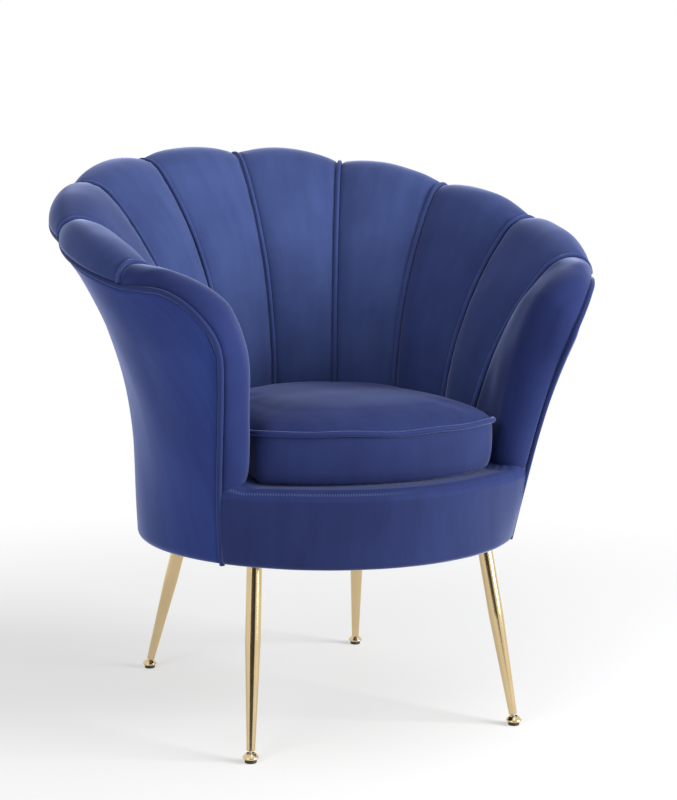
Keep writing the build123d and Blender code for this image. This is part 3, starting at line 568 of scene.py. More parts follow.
armEdge = {
    "foot": (-0.144, 0.250),  # side view: behind the axis, height
    "footLean": 10.0,
    "brow": (-0.231, 0.522),
    "top": (-0.190, 0.600),
    "counts": (60, 40, 220),  # points to the brow, to the top, and in all
    "tries": 14,  # steps by which points come onto the cover
    "cordRoom": 0.0046,
    "cordShare": 0.93,  # of the arm's edge, before the cord leaves it for the rim
    "coverSkin": 0.005,
    "wallStart": 0.259,  # lower end of the cover's wall
    "spreadAngles": (84.0, 127.0, 150.0),  # the wall leans out between the outer two, most at the middle one
    "spread": 0.0225,
    "spreadHeight": 0.355,
    "endAngle": 133.0,
    "endLift": 0.012,
    "browTuck": 0.010,  # how far the arm's rounded top draws in
    "browTurn": 10.0,  # degrees past the arm seam over which it grows
    "browFrom": 0.53,
    "browRun": 0.06,
}


# An arc that leaves a point in a direction and ends at another point
def arcFrom(start, heading, end, count):
    start, end = np.array(start), np.array(end)
    chord = end - start
    bend = np.arctan2(heading[0] * chord[1] - heading[1] * chord[0], heading @ chord)
    turn = 2 * bend * np.linspace(0, 1, count)
    radius = np.linalg.norm(chord) / (2 * np.sin(bend))
    side = np.array([-heading[1], heading[0]])
    points = start + radius * (np.sin(turn)[:, None] * heading + (1 - np.cos(turn))[:, None] * side)
    return points, np.cos(2 * bend) * heading + np.sin(2 * bend) * side


def armSideView():  # an arc to the brow, an arc to the top, a line to the shoulder
    shoulder = (lipRadius * np.cos(armAngle), tub["armRim"] - tub["coverDrop"])
    footLean = np.radians(armEdge["footLean"])
    footHeading = np.array([-np.sin(footLean), np.cos(footLean)])
    toBrow, toTop, total = armEdge["counts"]
    rising, browHeading = arcFrom(armEdge["foot"], footHeading, armEdge["brow"], toBrow)
    rounded, _ = arcFrom(armEdge["brow"], browHeading, armEdge["top"], toTop)
    return evenly(np.concatenate([rising, rounded[1:], np.array([shoulder])]), total)


def flareReach(above):  # how far out the flare's arc is, this far above its start
    above = np.clip(above, 0, tub["flareRadius"] * tub["flareMost"])
    return tub["flareRadius"] - np.sqrt(tub["flareRadius"] ** 2 - above**2)


def scallop(angle):  # 0 at the seams, 1 in the middle of a channel, 0 beyond the arm seams
    share = np.abs(angle) / np.radians(tub["petalAngle"]) % 1
    return np.where(np.abs(angle) < armAngle, 1 - (2 * share - 1) ** 2, 0.0)


# Radius of the outer cover: a lower wall that leans out towards the arms' fronts, then an arc up to the rim
def coverReach(angle, height, scalloped=1.0):
    around = np.abs(np.degrees(angle))
    pastSeam = np.maximum(around - np.degrees(armAngle), 0)
    first, full, _ = armEdge["spreadAngles"]
    share = (np.maximum(around - first, 0) / (full - first)) ** 2
    bendHeight = rimHeight(angle) - flareRise
    bend = tub["coverRadius"] + armEdge["spread"] * share
    bendTop = bendHeight + (armEdge["spreadHeight"] - bendHeight) * share
    tilt = np.arctan2(bend - tub["coverRadius"], bendTop - armEdge["wallStart"])
    beyond = pastSeam / (armEdge["endAngle"] - np.degrees(armAngle))
    end = rimHeight(angle) - tub["coverDrop"] + armEdge["endLift"] * beyond
    run = tub["coverRadius"] + flareReach(end - bendHeight) - bend
    rise = end - bendTop
    curve = (run**2 + rise**2) / 2 / (run * np.cos(tilt) - rise * np.sin(tilt))
    above = np.maximum(height - bendTop, 0) + curve * np.sin(tilt)
    arc = bend + curve * np.cos(tilt) - np.sqrt(np.maximum(curve**2 - above**2, 1e-6))
    leaning = tub["coverRadius"] + (height - armEdge["wallStart"]) * np.tan(tilt)
    radius = np.where(height < bendTop, leaning, arc)
    raised = within((height - armEdge["browFrom"]) / armEdge["browRun"])
    brow = within(pastSeam / armEdge["browTurn"]) * raised
    radius = radius - armEdge["browTuck"] * brow
    out = (radius - tub["coverRadius"]) / (bend + run - tub["coverRadius"])
    return radius + scalloped * petal["lipSwell"] * scallop(angle) * out


# Points of the side view carried out sideways onto the cover, by steps that come closer to it
def ontoCover(sideView, inset=0.0):
    back, height = sideView.T
    beside = np.full_like(back, tub["coverRadius"])
    for _ in range(armEdge["tries"]):
        radius = coverReach(np.arctan2(beside, back), height, 0.0) - inset
        beside = np.sqrt(np.maximum(radius**2 - back**2, 1e-6))
    return np.stack([beside, back + tub["axisY"], height], axis=1)


sideEdge = armSideView()
sideAlong = unit(np.gradient(sideEdge, axis=0))
sideNormal = np.stack([-sideAlong[:, 1], sideAlong[:, 0]], axis=1)
cordSide = sideEdge + sideNormal * armEdge["cordRoom"]
armCord = ontoCover(cordSide, armEdge["coverSkin"] / 2)
cordEnd = int(len(armCord) * armEdge["cordShare"])


# Edge cord: up one arm, along the scallops, down the other arm
def edgeCord():
    onRim, total = welt["edgeCounts"]
    angle = np.linspace(-armAngle, armAngle, channels * onRim + 1)
    radius = lipRadius - welt["edgeRadius"] * welt["edgeSink"] + petal["lipSwell"] * scallop(angle)
    rim = fromTub(radius, angle, rimHeight(angle) - tub["lipDrop"] - armEdge["cordRoom"])
    side = armCord[:cordEnd]
    path = evenly(np.concatenate([side * (-1, 1, 1), rim, side[::-1]]), total)
    for _ in range(welt["edgeEased"]):
        path[1:-1] = path[1:-1] * 0.5 + (path[2:] + path[:-2]) * 0.25
    inward = np.array([0, tub["axisY"], 0]) - path
    inward[:, 2] = 0
    piece = cordPiece("edgeCord", leanBack(path), inward, welt["edgeRadius"])
    dress(piece, "chair", "velvet_welt", "edge_piping")


edgeCord()
print("edge cord made")

arm = {
    "foot": 0.3536,
    "footRoom": 0.004,  # the rows start this far below the foot
    "sunk": 0.0025,  # the lowest row goes this far into the band
    "pinch": 0.24,  # drawn in at the foot's seam
    "pinchRun": 0.014,
    "footSwell": 0.0355,  # how far the nose stands out, at the foot and above
    "swell": 0.044,
    "starts": 0.2,
    "grown": 0.5,
    "fade": 0.4,  # share of the channel, up to the rim, over which the swell fades
    "mostShare": 0.4,
    "levelShare": 3,  # the swell is level at the foot and turns up over the rows' number divided by this
    "nose": 0.62,  # where the round nose starts, of the channel's width
    "bow": 0.14,
    "leastBow": 2e-4,
    "leastSize": 1e-5,
    "rows": 90,
    "columns": (30, 34),
    "pad": 0.004,
    "softness": 0.0010,
    "softSizes": (0.05, 0.14),
    "softFrom": 0.03,  # from the seams
    "fill": 0.8,
}


# Across an arm: a bowed line to the nose, then an arc that carries on from it to the cord.
# Returns lengths along the arm's width and out of it, for widths and swells given per row.
def armSection(width, swell, bow):
    first, second = arm["columns"]
    u = (1 - np.cos(np.linspace(0, np.pi / 2, first, endpoint=False)))[None, :]
    noseX = width * arm["nose"]
    size = np.hypot(noseX, swell)
    bowX, bowY = swell / size * 4 * bow, noseX / size * 4 * bow
    along = noseX * u - bowX * u * (1 - u)
    out = swell * u + bowY * u * (1 - u)
    wayX, wayY = noseX + bowX, swell - bowY
    size = np.hypot(wayX, wayY)
    wayX, wayY = wayX / size, wayY / size
    endX, endY = width - noseX, -swell
    bend = np.arctan2(wayX * endY - wayY * endX, wayX * endX + wayY * endY)
    radius = np.hypot(endX, endY) / (2 * np.sin(bend))
    turn = 2 * bend * np.sin(np.linspace(0, np.pi / 2, second))[None, :]
    arcX = noseX + radius * (np.sin(turn) * wayX - (1 - np.cos(turn)) * wayY)
    arcY = swell + radius * (np.sin(turn) * wayY + (1 - np.cos(turn)) * wayX)
    return np.concatenate([along, arcX], axis=1), np.concatenate([out, arcY], axis=1)


# An arm's front channel: rows from the arm seam to the edge cord, arched towards the front and the inside
def armPiece(side, name, node):
    seam, edge = (evenly(line[line[:, 2] > arm["foot"] - arm["footRoom"]], arm["rows"])
                  for line in (seamPath(armAngle, 0.0), armCord))
    edgeWay, seamWay = (unit(np.gradient(line, axis=0)) for line in (edge, seam))
    across = np.array([np.cos(armAngle), -np.sin(armAngle), 0.0])
    share = np.linspace(0, 1, arm["rows"])[:, None]
    forward = np.stack([0 * edgeWay[:, 0], -edgeWay[:, 2], edgeWay[:, 1]], axis=1)
    swellWay = np.cross(across, seamWay) + forward
    swellWay[:, 2] *= np.minimum(1.0, arm["levelShare"] * share[:, 0])
    chord = edge - seam
    width = np.linalg.norm(chord, axis=1, keepdims=True)
    chordWay = chord / np.maximum(width, 1e-6)
    swellWay = unit(swellWay - chordWay * np.sum(swellWay * chordWay, axis=1, keepdims=True))
    grown = smoothed(within((share - arm["starts"]) / (arm["grown"] - arm["starts"])))
    swell = arm["footSwell"] + (arm["swell"] - arm["footSwell"]) * grown
    swell = swell * (1 - arm["pinch"] * np.exp(-(edge[:, 2:] - edge[0, 2]) / arm["pinchRun"]))
    swell = np.minimum(swell * np.minimum(1, (1 - share) / arm["fade"]), width * arm["mostShare"])
    swell = swell + arm["leastSize"]
    along, out = armSection(width + arm["leastSize"], swell, swell * arm["bow"] * grown + arm["leastBow"])

    def placed():  # the section set on its row's seam point, width and swell
        return seam[:, None] + along[..., None] * chordWay[:, None] + out[..., None] * swellWay[:, None]

    flat = surfaceLay(placed())
    gap = flat[..., 0] - flat[:, :1, 0]
    gap = np.minimum(gap, gap[:, -1:] - gap)
    lift = -petal["groove"] * np.exp(-(gap / petal["grooveWidth"]) ** 2)
    lift += arm["softness"] * within(gap / arm["softFrom"]) * uneven(flat, seeds["arm"], arm["softSizes"])
    tangent = np.gradient(along, axis=1), np.gradient(out, axis=1)
    size = np.maximum(np.hypot(*tangent), 1e-9)
    along, out = along - lift * tangent[1] / size, out + lift * tangent[0] / size
    front = placed()
    reach = np.linspace(0, 1, front.shape[1])[None, :, None]
    back = seam[:, None] + reach * chord[:, None] - swellWay[:, None] * arm["pad"]
    front[0, :, 2] -= arm["sunk"]
    back[0, :, 2] -= arm["sunk"]
    piece = padPiece(name, leanBack(front) * (side, 1, 1), leanBack(back) * (side, 1, 1), flat)
    dress(piece, "chair", "velvet", node)


armPiece(1, "armChannelRight", "petal_10")
armPiece(-1, "armChannelLeft", "petal_01")
print("arm channels made")

base = {
    "bottom": 0.250,
    "round": 0.009,
    "roundShare": 0.8,
    "roundRows": 9,
    "hemTop": 0.2577,
    "hemBottom": 0.2562,
    "hemInner": 0.235,
    "skin": 0.004,
    "fill": 0.5,
}


# The rounded lower edge in radius and height, from the hem outwards: an arc through three points
def baseRound():
    first = np.array([tub["coverRadius"] - 2 * base["round"], base["hemBottom"]])
    middle = np.array([tub["coverRadius"] - base["round"] * base["roundShare"], base["bottom"]])
    last = np.array([tub["coverRadius"], base["bottom"] + base["round"]])
    system = 2 * np.array([middle - first, last - first])
    centre = np.linalg.solve(system, [middle @ middle - first @ first, last @ last - first @ first])
    radius = np.linalg.norm(first - centre)
    start, end = (np.arctan2(*(point - centre)[::-1]) for point in (first, last))
    turn = np.linspace(start, end, base["roundRows"])
    return centre[0] + radius * np.cos(turn), centre[1] + radius * np.sin(turn)


cover = {
    "rows": 46,
    "armColumns": 14,
    "channelColumns": 16,
    "softness": 0.0008,
    "softSizes": (0.08, 0.3),
    "belly": 0.006,
    "bellyHeights": (0.262, 0.62),
    "bellyEnd": 2.15,  # radians from the back, and over how many it fades
    "bellyFade": 0.4,
    "tuck": 0.0012,  # behind the cord
    "rimTuck": 0.003,
}


# The outer cover: columns from the hem to the rim or the arm's brow, drawn together sideways as the
# arms' edges are, and set on the cover's surface
def outerCover():
    border = ontoCover(cordSide - sideNormal * cover["tuck"])[:cordEnd]
    angles = np.arctan2(border[:, 0], border[:, 1] - tub["axisY"])
    heights = border[:, 2]
    corner = int(np.argmax(angles))
    startHeight = base["bottom"] + base["round"]
    rows = np.linspace(0, 1, cover["rows"])
    sideHeight = startHeight + rows * (heights[corner] - startHeight)
    sideAngle = np.interp(sideHeight, heights[: corner + 1], angles[: corner + 1])
    browAngle = np.linspace(angles[corner], armAngle, cover["armColumns"], endpoint=False)
    order = np.argsort(angles[corner:])
    browHeight = np.interp(browAngle, angles[corner:][order], heights[corner:][order])
    rim = np.linspace(armAngle, -armAngle, channels * cover["channelColumns"] + 1)
    topAngle = np.concatenate([browAngle, rim, -browAngle[::-1]])
    rimEdge = rimHeight(rim) - tub["coverDrop"] + cover["rimTuck"]
    topHeight = np.concatenate([browHeight, rimEdge, browHeight[::-1]])
    angle = sideAngle[:, None] * topAngle / topAngle[0]
    height = sideHeight[:, None] + rows[:, None] * (topHeight - sideHeight[-1])
    radius = coverReach(angle, height)
    flat = surfaceLay(fromTub(radius, angle, height))
    radius = radius + cover["softness"] * uneven(flat, seeds["cover"], cover["softSizes"])
    first, last = cover["bellyHeights"]
    full = np.sin(np.pi * within((height - first) / (last - first)))
    radius = radius + cover["belly"] * full * within((cover["bellyEnd"] - np.abs(angle)) / cover["bellyFade"])
    roundRadius, roundHeight = baseRound()
    hemRadius = np.array([base["hemInner"], *roundRadius[:-1]])
    hemHeight = np.array([base["hemBottom"], *roundHeight[:-1]])
    low = fromTub(hemRadius[:, None], angle[:1], hemHeight[:, None])
    outer = np.concatenate([low, leanBack(fromTub(radius, angle, height))])
    half = len(hemRadius) // 2
    hemRadius[half:] = np.minimum(hemRadius[half:], tub["coverRadius"] - base["skin"])
    hemHeight = np.minimum(hemHeight + base["skin"], base["hemTop"])
    hemHeight[half:] = base["hemTop"]
    low = fromTub(hemRadius[:, None], angle[:1], hemHeight[:, None])
    inner = np.concatenate([low, leanBack(fromTub(radius - base["skin"], angle, height))])
    piece = padPiece("outerCover", outer, inner, surfaceLay(outer))
    dress(piece, "chair", "velvetOuter", "outer_back_cover")


outerCover()
print("outer cover made")

band = {
    "top": 0.352,
    "round": 0.017,
    "rows": (22, 16, 12),  # wall, rounded edge, ledge
    "columns": 181,
    "sideRows": 90,  # points of the arm's side view beside the band
    "cordShare": 0.75,  # of the cord's room: how far in front of the cord's line the band ends
    "ledgeInner": 0.180,
    "ledgeFlat": 0.2157,  # inwards of this it dips under the deck's cloth
    "ledgeDip": 0.0016,
    "ledgeRun": 0.004,
    "ledgeTuck": 0.3,  # radians that the ledge runs on under the arms' feet
    "tuckRun": 0.02,
    "seamDip": 0.0006,  # at the stitched seam
    "seamWidth": 0.002,
    "endRise": 0.009,  # the band is pulled up where it meets the arms
    "endRun": 0.11,  # radians before the arms
    "endDepth": 0.045,  # how far down the wall the pull is felt
    "endInner": 0.195,  # how far in on the ledge
    "endFade": 0.02,
    "softness": 0.0008,
    "softSizes": (0.05, 0.2),
    "brushed": 0.75,  # share of the rounded edge in the flat finish
}


# The front band: its profile of hem, rounded edge, wall, soft top edge and ledge, carried round to the arms
def frontBand():
    top, soft, wall = band["top"], band["round"], tub["coverRadius"]
    wallRows, softRows, ledgeRows = band["rows"]
    roundRadius, roundHeight = baseRound()
    wallHeight = np.linspace(base["bottom"] + base["round"], top - soft, wallRows)[1:-1]
    turn = np.linspace(0, np.pi / 2, softRows)
    ledge = np.linspace(wall - soft, band["ledgeInner"], ledgeRows)[1:]
    dip = band["ledgeDip"] * within((band["ledgeFlat"] - ledge) / band["ledgeRun"])
    radius = np.concatenate([[base["hemInner"]], roundRadius, 0 * wallHeight + wall,
                             wall - soft + soft * np.cos(turn), ledge])
    height = np.concatenate([[base["hemBottom"]], roundHeight, wallHeight,
                             top - soft + soft * np.sin(turn), top - dip])
    border = ontoCover(cordSide + sideNormal * armEdge["cordRoom"] * band["cordShare"])[: band["sideRows"]]
    limits = np.arctan2(border[:, 0], border[:, 1] - tub["axisY"])
    ends = np.pi - np.interp(np.maximum(height, base["bottom"]), border[:, 2], limits)[:, None]
    aboveHem = height > base["hemTop"]
    onLedge = within((wall - soft - radius) / band["tuckRun"]) * aboveHem
    turned = np.linspace(1, -1, band["columns"]) * (ends + (onLedge * band["ledgeTuck"])[:, None])
    angle = np.pi - turned
    _, full, last = armEdge["spreadAngles"]
    near = np.maximum(last - 180 + np.degrees(np.abs(turned)), 0) / (last - full)
    rise = within((height - armEdge["wallStart"]) / (armEdge["spreadHeight"] - armEdge["wallStart"]))
    out = armEdge["spread"] * near**2 * (rise * (1 - onLedge))[:, None]
    pulled = np.where(radius < wall - soft, within((radius - band["endInner"]) / band["endFade"]),
                      within(1 - (top - height) / band["endDepth"]) ** 2) * aboveHem
    toArm = within((np.abs(turned) - ends) / band["endRun"] + 1)
    level = height[:, None] + band["endRise"] * pulled[:, None] * smoothed(toArm)
    flat = surfaceLay(fromTub(radius[:, None] + out, angle, height[:, None]))
    bulge = band["softness"] * uneven(flat, seeds["band"], band["softSizes"])
    bulge -= band["seamDip"] * np.exp(-((flat[..., 1] - stitches["line"]) / band["seamWidth"]) ** 2)
    outer = fromTub(radius[:, None] + out + bulge, angle, level)
    innerRadius = np.clip(radius, base["hemInner"], wall - base["skin"])
    innerHeight = np.clip(height, base["hemTop"], top - base["skin"])
    rounded = slice(1 + len(roundRadius) + len(wallHeight), -len(ledge))
    innerRadius[rounded] = wall - soft + (soft - base["skin"]) * np.cos(turn)
    innerHeight[rounded] = top - soft + (soft - base["skin"]) * np.sin(turn)
    inner = fromTub(innerRadius[:, None] + out, angle, innerHeight[:, None])
    piece = padPiece("frontBand", outer, inner, flat)
    dress(piece, "chair", "stitched", "front_rail_cover")
    layTop(piece, "stitchedTop", top - band["brushed"] * soft)


frontBand()
print("front band made")

cushion = {
    "edge": 0.420,  # the welt line's height
    "bottom": 0.3523,
    "top": 0.4515,
    "radius": 0.1695,
    "flare": 1.0,
    "front": 0.231,
    "corner": 0.175,
    "cornerSoft": 0.017,
    "columns": 260,
    "planCounts": (200, 120),  # points of the plan's back and front
    "rows": (9, 7, 9, 22),  # underside, lower edge, side, crown
    "middle": 0.02,  # where the rows end, of the plan's size
    "under": 0.0065,
    "full": 5.0,  # powers of the crown: how flat it is and how round its edge
    "roundEdge": 0.62,
    "crownSteps": 1.8,  # more puts more rows near the edge
    "waist": -0.0042,
    "smaller": 0.0012,  # the sewn shape before it is filled
    "voxel": 0.005,
    "pressure": 4.0,
    "quality": 6,
    "frames": 20,
    "weltHalf": 0.0035,  # points this close to the welt line are held while it fills
    "eased": 14,  # passes that even out the filling
    "most": 0.006,  # how far filling may move a point
    "softness": 0.0005,
    "softSizes": (0.07, 0.2),
    "softFrom": 0.01,
    "brushed": 0.006,  # height of the flat finish at the bottom
    "fill": 0.75,
    "coreSize": 0.93,  # foam inside the cover
    "coreGap": 0.010,
    "coreFill": 0.9,
    "cordOut": 0.0022,
    "cordWaves": ((0.0011, 5, 1.0), (0.0008, 11, 0.0)),  # height, waves round the cushion, phase
}
zipBed = {
    "height": 0.385,
    "half": 0.0062,  # of its height
    "edge": 0.0015,  # over which it gets deep
    "angle": 48.0,  # to each side of the back
    "end": 0.03,  # radians over which it gets deep
    "depth": 0.0036,
    "reach": 0.9,  # of the cushion's radius, points further in stay
}


# Plan of the cushion: round behind, nearly straight sides, a flat arc in front, with softened corners
def cushionPlan():
    count = cushion["columns"]
    slope = np.radians(cushion["flare"])
    backCount, frontCount = cushion["planCounts"]
    turn = np.linspace(slope, np.pi - slope, backCount)
    back = cushion["radius"] * np.stack([np.cos(turn), np.sin(turn)], axis=1)
    corner = np.array([back[0, 0] + (back[0, 1] + cushion["corner"]) * np.tan(slope), -cushion["corner"]])
    drop = cushion["front"] - cushion["corner"]
    size = (corner[0] ** 2 + drop**2) / (2 * drop)
    spread = np.arcsin(corner[0] / size)
    turn = np.linspace(-spread, spread, frontCount)
    front = np.stack([size * np.sin(turn), -cushion["front"] + size - size * np.cos(turn)], axis=1)
    line = evenly(np.concatenate([back, front, back[:1]]), count + 1)[:-1]
    length = np.linalg.norm(line - np.roll(line, 1, axis=0), axis=1).sum()
    waves = np.fft.fftfreq(count, length / count)
    blur = np.exp(-2 * (np.pi * waves * cushion["cornerSoft"]) ** 2)[:, None]
    return np.real(np.fft.ifft(np.fft.fft(line, axis=0) * blur, axis=0))


def planNormals(plan):  # outwards, square to the line between each point's neighbours
    along = unit(np.roll(plan, -1, axis=0) - np.roll(plan, 1, axis=0))
    return np.stack([along[:, 1], -along[:, 0]], axis=1)


# The cushion's rows: underside, rounded lower edge, waisted side, welt line and a crown up to the middle
def cushionRows(plan, smaller):
    normal = planNormals(plan)
    low, edge, top = cushion["bottom"], cushion["edge"], cushion["top"] - smaller
    under, middle = cushion["under"], cushion["middle"]
    underRows, edgeRows, sideRows, crownRows = cushion["rows"]
    rows = []
    for share in np.linspace(middle, 0.96, underRows):
        rows.append((plan * share - normal * under * share, low))
    for turn in np.linspace(0, np.pi / 2, edgeRows):
        inset = under * (1 - np.sin(turn)) + smaller
        rows.append((plan - normal * inset, low + under * (1 - np.cos(turn))))
    for share in np.linspace(0.1, 1, sideRows):
        inset = cushion["waist"] * np.sin(np.pi * share) ** 0.5 + smaller * (1 - share**4)
        rows.append((plan - normal * inset, low + under + share * (edge - low - under)))
    for share in 1 - (1 - middle) * np.linspace(0.1, 1, crownRows) ** cushion["crownSteps"]:
        rise = (1 - share ** cushion["full"]) ** cushion["roundEdge"]
        rows.append((plan * share, edge + (top - edge) * rise))
    rows = np.stack([np.column_stack([flat, np.full(len(flat), level)]) for flat, level in rows])
    rows[..., 1] += tub["axisY"]
    return rows


# Cloth under pressure with the welt line held; its moves are averaged over neighbours and limited
def fillWithAir(piece):
    start = meshPoints(piece.data)
    onWelt = np.abs(start[:, 2] - cushion["edge"]) < cushion["weltHalf"]
    held = piece.vertex_groups.new(name="held")
    held.add(np.nonzero(onWelt)[0].tolist(), 1.0, "REPLACE")
    cloth = piece.modifiers.new("filling", "CLOTH")
    cloth.settings.use_pressure = True
    cloth.settings.uniform_pressure_force = cushion["pressure"]
    cloth.settings.vertex_group_mass = "held"
    cloth.settings.effector_weights.gravity = 0
    cloth.settings.quality = cushion["quality"]
    cloth.collision_settings.use_collision = False
    cloth.point_cache.frame_end = cushion["frames"]
    scene = bpy.context.scene
    for step in range(1, cushion["frames"] + 1):
        scene.frame_set(step)
    shaped = piece.evaluated_get(bpy.context.evaluated_depsgraph_get())
    move = meshPoints(shaped.data) - start
    piece.modifiers.remove(cloth)
    piece.vertex_groups.clear()
    scene.frame_set(1)
    pairs = np.empty(len(piece.data.edges) * 2, dtype=np.int32)
    piece.data.edges.foreach_get("vertices", pairs)
    pairs = np.concatenate([pairs.reshape(-1, 2), pairs.reshape(-1, 2)[:, ::-1]])
    near = np.maximum(np.bincount(pairs[:, 0], minlength=len(start)), 1)[:, None]
    for _ in range(cushion["eased"]):
        drawn = [np.bincount(pairs[:, 0], move[pairs[:, 1], axis], len(start)) for axis in range(3)]
        move = 0.5 * move + 0.5 * np.stack(drawn, axis=1) / near
    low = start[:, 2] < cushion["bottom"] + cushion["under"]
    move[:, 2] = np.where(low, np.maximum(move[:, 2], 0), move[:, 2])
    size = np.linalg.norm(move, axis=1, keepdims=True)
    return start + move * cushion["most"] / (cushion["most"] + size)


def zipDepth(points):  # how far the cover is pressed in behind the zip
    flat = points[:, :2] - (0, tub["axisY"])
    reach = np.linalg.norm(flat, axis=1)
    around = np.abs(np.arctan2(flat[:, 0], flat[:, 1]))
    behind = within((np.radians(zipBed["angle"]) - around) / zipBed["end"])
    level = within((zipBed["half"] - np.abs(points[:, 2] - zipBed["height"])) / zipBed["edge"])
    depth = zipBed["depth"] * behind * level * (reach > cushion["radius"] * zipBed["reach"])
    return flat / np.maximum(reach, 1e-6)[:, None] * depth[:, None]


def cushionPiece(plan):
    rows = cushionRows(plan, cushion["smaller"])
    piece = meshPiece("seatCushion", rows.reshape(-1, 3), tubeFaces(*rows.shape[:2]))
    remesh = piece.modifiers.new("even", "REMESH")
    remesh.mode = "VOXEL"
    remesh.voxel_size = cushion["voxel"]
    shaped = bpy.data.meshes.new_from_object(piece.evaluated_get(bpy.context.evaluated_depsgraph_get()))
    piece.modifiers.clear()
    piece.data = shaped
    points = fillWithAir(piece)
    points[:, 2] = np.maximum(points[:, 2], cushion["bottom"])
    points[:, :2] -= zipDepth(points)
    crown = points[:, 2] > cushion["edge"] + cushion["softFrom"]
    ripple = cushion["softness"] * uneven(points[:, :2], seeds["cushion"], cushion["softSizes"])
    points[:, 2] += ripple * crown
    shaped.vertices.foreach_set("co", points.ravel())
    setLay(shaped, np.stack([points[:, 0], points[:, 1] + points[:, 2]], axis=1))
    shadeSmooth(shaped)
    finer = piece.modifiers.new("finer", "SUBSURF")
    finer.levels = finer.render_levels = 1
    dress(piece, "cushion", "velvetSeat", "cushion_cover")
    layTop(piece, "velvetTop", cushion["edge"], cushion["bottom"] + cushion["brushed"])


def cushionCore(plan):
    rows = cushionRows(plan * cushion["coreSize"], cushion["coreGap"])
    core = meshPiece("cushionCore", rows.reshape(-1, 3), tubeFaces(*rows.shape[:2]))
    dress(core, "cushion", "foam", "cushion_core")


def cushionCord(plan):
    outward = planNormals(plan)
    path = np.column_stack([plan + outward * cushion["cordOut"] + (0, tub["axisY"]), np.zeros(len(plan))])
    around = np.linspace(0, 2 * np.pi, len(path), endpoint=False)
    waves = [size * np.sin(count * around + phase) for size, count, phase in cushion["cordWaves"]]
    path[:, 2] = cushion["edge"] + sum(waves)
    guide = np.column_stack([outward, np.zeros(len(plan))])
    cord = cordPiece("cushionCord", path, guide, welt["edgeRadius"], loop=True)
    dress(cord, "cushion", "velvet_welt", "cushion_piping")


seatPlan = cushionPlan()
for makePiece in (cushionPiece, cushionCore, cushionCord):
    makePiece(seatPlan)
print("cushion made")

leg = {
    "endRadius": 0.0055,
    "radius": 0.010,
    "straightShare": 0.42,
    "start": 0.0064,  # above the ball
    "endWall": 0.0014,
    "endSoft": 0.0004,
    "rows": (24, 14),  # tapered, straight
    "straightFrom": 0.04,  # the straight part's first row, of its length
    "sides": 56,
    "plate": (0.058, 0.050, 0.004, 0.216),  # length, width, thickness, distance of its middle from the axis
    "plateCorner": 0.008,
    "plateStep": 7.5,
    "plateBevel": 0.0006,
    "crisp": 40.0,  # edges that bend more than this stay sharp
}


# A turned form: a profile of distances along and from an axis, carried round it
def turnedForm(profile, origin, axis, sides):
    axis = unit(np.array(axis))
    helper = np.array([1.0, 0, 0]) if abs(axis[0]) < 0.9 else np.array([0, 1.0, 0])
    first = unit(np.cross(axis, helper))
    second = np.cross(axis, first)
    turn = np.linspace(0, 2 * np.pi, sides, endpoint=False)
    ring = np.cos(turn)[:, None] * first + np.sin(turn)[:, None] * second
    profile = np.asarray(profile, float)
    points = np.array(origin) + profile[:, None, :1] * axis + profile[:, None, 1:] * ring
    return points.reshape(-1, 3), tubeFaces(len(profile), sides)


# A level plate with round corners and a small bevel, lengthwise along its leg's direction in plan
def platePoints(out, bottom, top):
    aside = np.array([-out[1], out[0]])
    longSide, wide, _, middle = leg["plate"]
    turn = np.radians(np.arange(0, 360, leg["plateStep"]))
    soft, bevel = leg["plateCorner"], leg["plateBevel"]
    corner = np.stack([np.sign(np.cos(turn + 1e-6)) * (longSide / 2 - soft) + soft * np.cos(turn),
                       np.sign(np.sin(turn + 1e-6)) * (wide / 2 - soft) + soft * np.sin(turn)], axis=1)
    plan = out * middle + corner[:, :1] * out + corner[:, 1:] * aside + (0, tub["axisY"])
    centre = plan.mean(axis=0)
    narrow = 1 - 2 * bevel / wide
    levels = ((bottom, narrow), (bottom + bevel, 1.0), (top - bevel, 1.0), (top, narrow))
    return np.stack([np.column_stack([centre + (plan - centre) * size, np.full(len(plan), level)])
                     for level, size in levels])


def legPiece(place, name):
    ball = np.array(joints[f"glide_tilt_{place}"]["pos_m"])
    upwards = -np.array(joints[f"glide_screw_{place}"]["axis"])
    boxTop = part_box(f"leg_{place}")[1][2]
    plateBottom = boxTop - leg["plate"][2]
    length = (plateBottom - ball[2]) / upwards[2]
    taperEnd = length * (1 - leg["straightShare"])
    taperRows, straightRows = leg["rows"]
    start, thin, thick = leg["start"], leg["endRadius"], leg["radius"]
    end = [[start, thin - leg["endWall"]], [start, thin - leg["endSoft"]]]
    taper = np.linspace((start, thin), (taperEnd, thick), taperRows)
    taper[0, 0] += leg["endSoft"]
    straight = taperEnd + np.linspace(leg["straightFrom"], 1, straightRows) * (length - taperEnd)
    profile = np.concatenate([end, taper, np.column_stack([straight, np.full(straightRows, thick)])])
    points, faces = turnedForm(profile, ball, upwards, leg["sides"])
    last = slice(-leg["sides"], None)
    rise = (plateBottom - points[last, 2]) / upwards[2]
    points[last] += upwards * rise[:, None]  # cut level under the plate
    rings = platePoints(unit(points[last, :2].mean(axis=0) - (0, tub["axisY"])), plateBottom, boxTop)
    faces = faces + tubeFaces(*rings.shape[:2], start=len(points))
    piece = meshPiece("leg" + name, np.concatenate([points, rings.reshape(-1, 3)]), faces)
    dress(piece, "chair", "gold", f"leg_{place}")
    sharpen = piece.modifiers.new("crisp", "EDGE_SPLIT")
    sharpen.split_angle = np.radians(leg["crisp"])


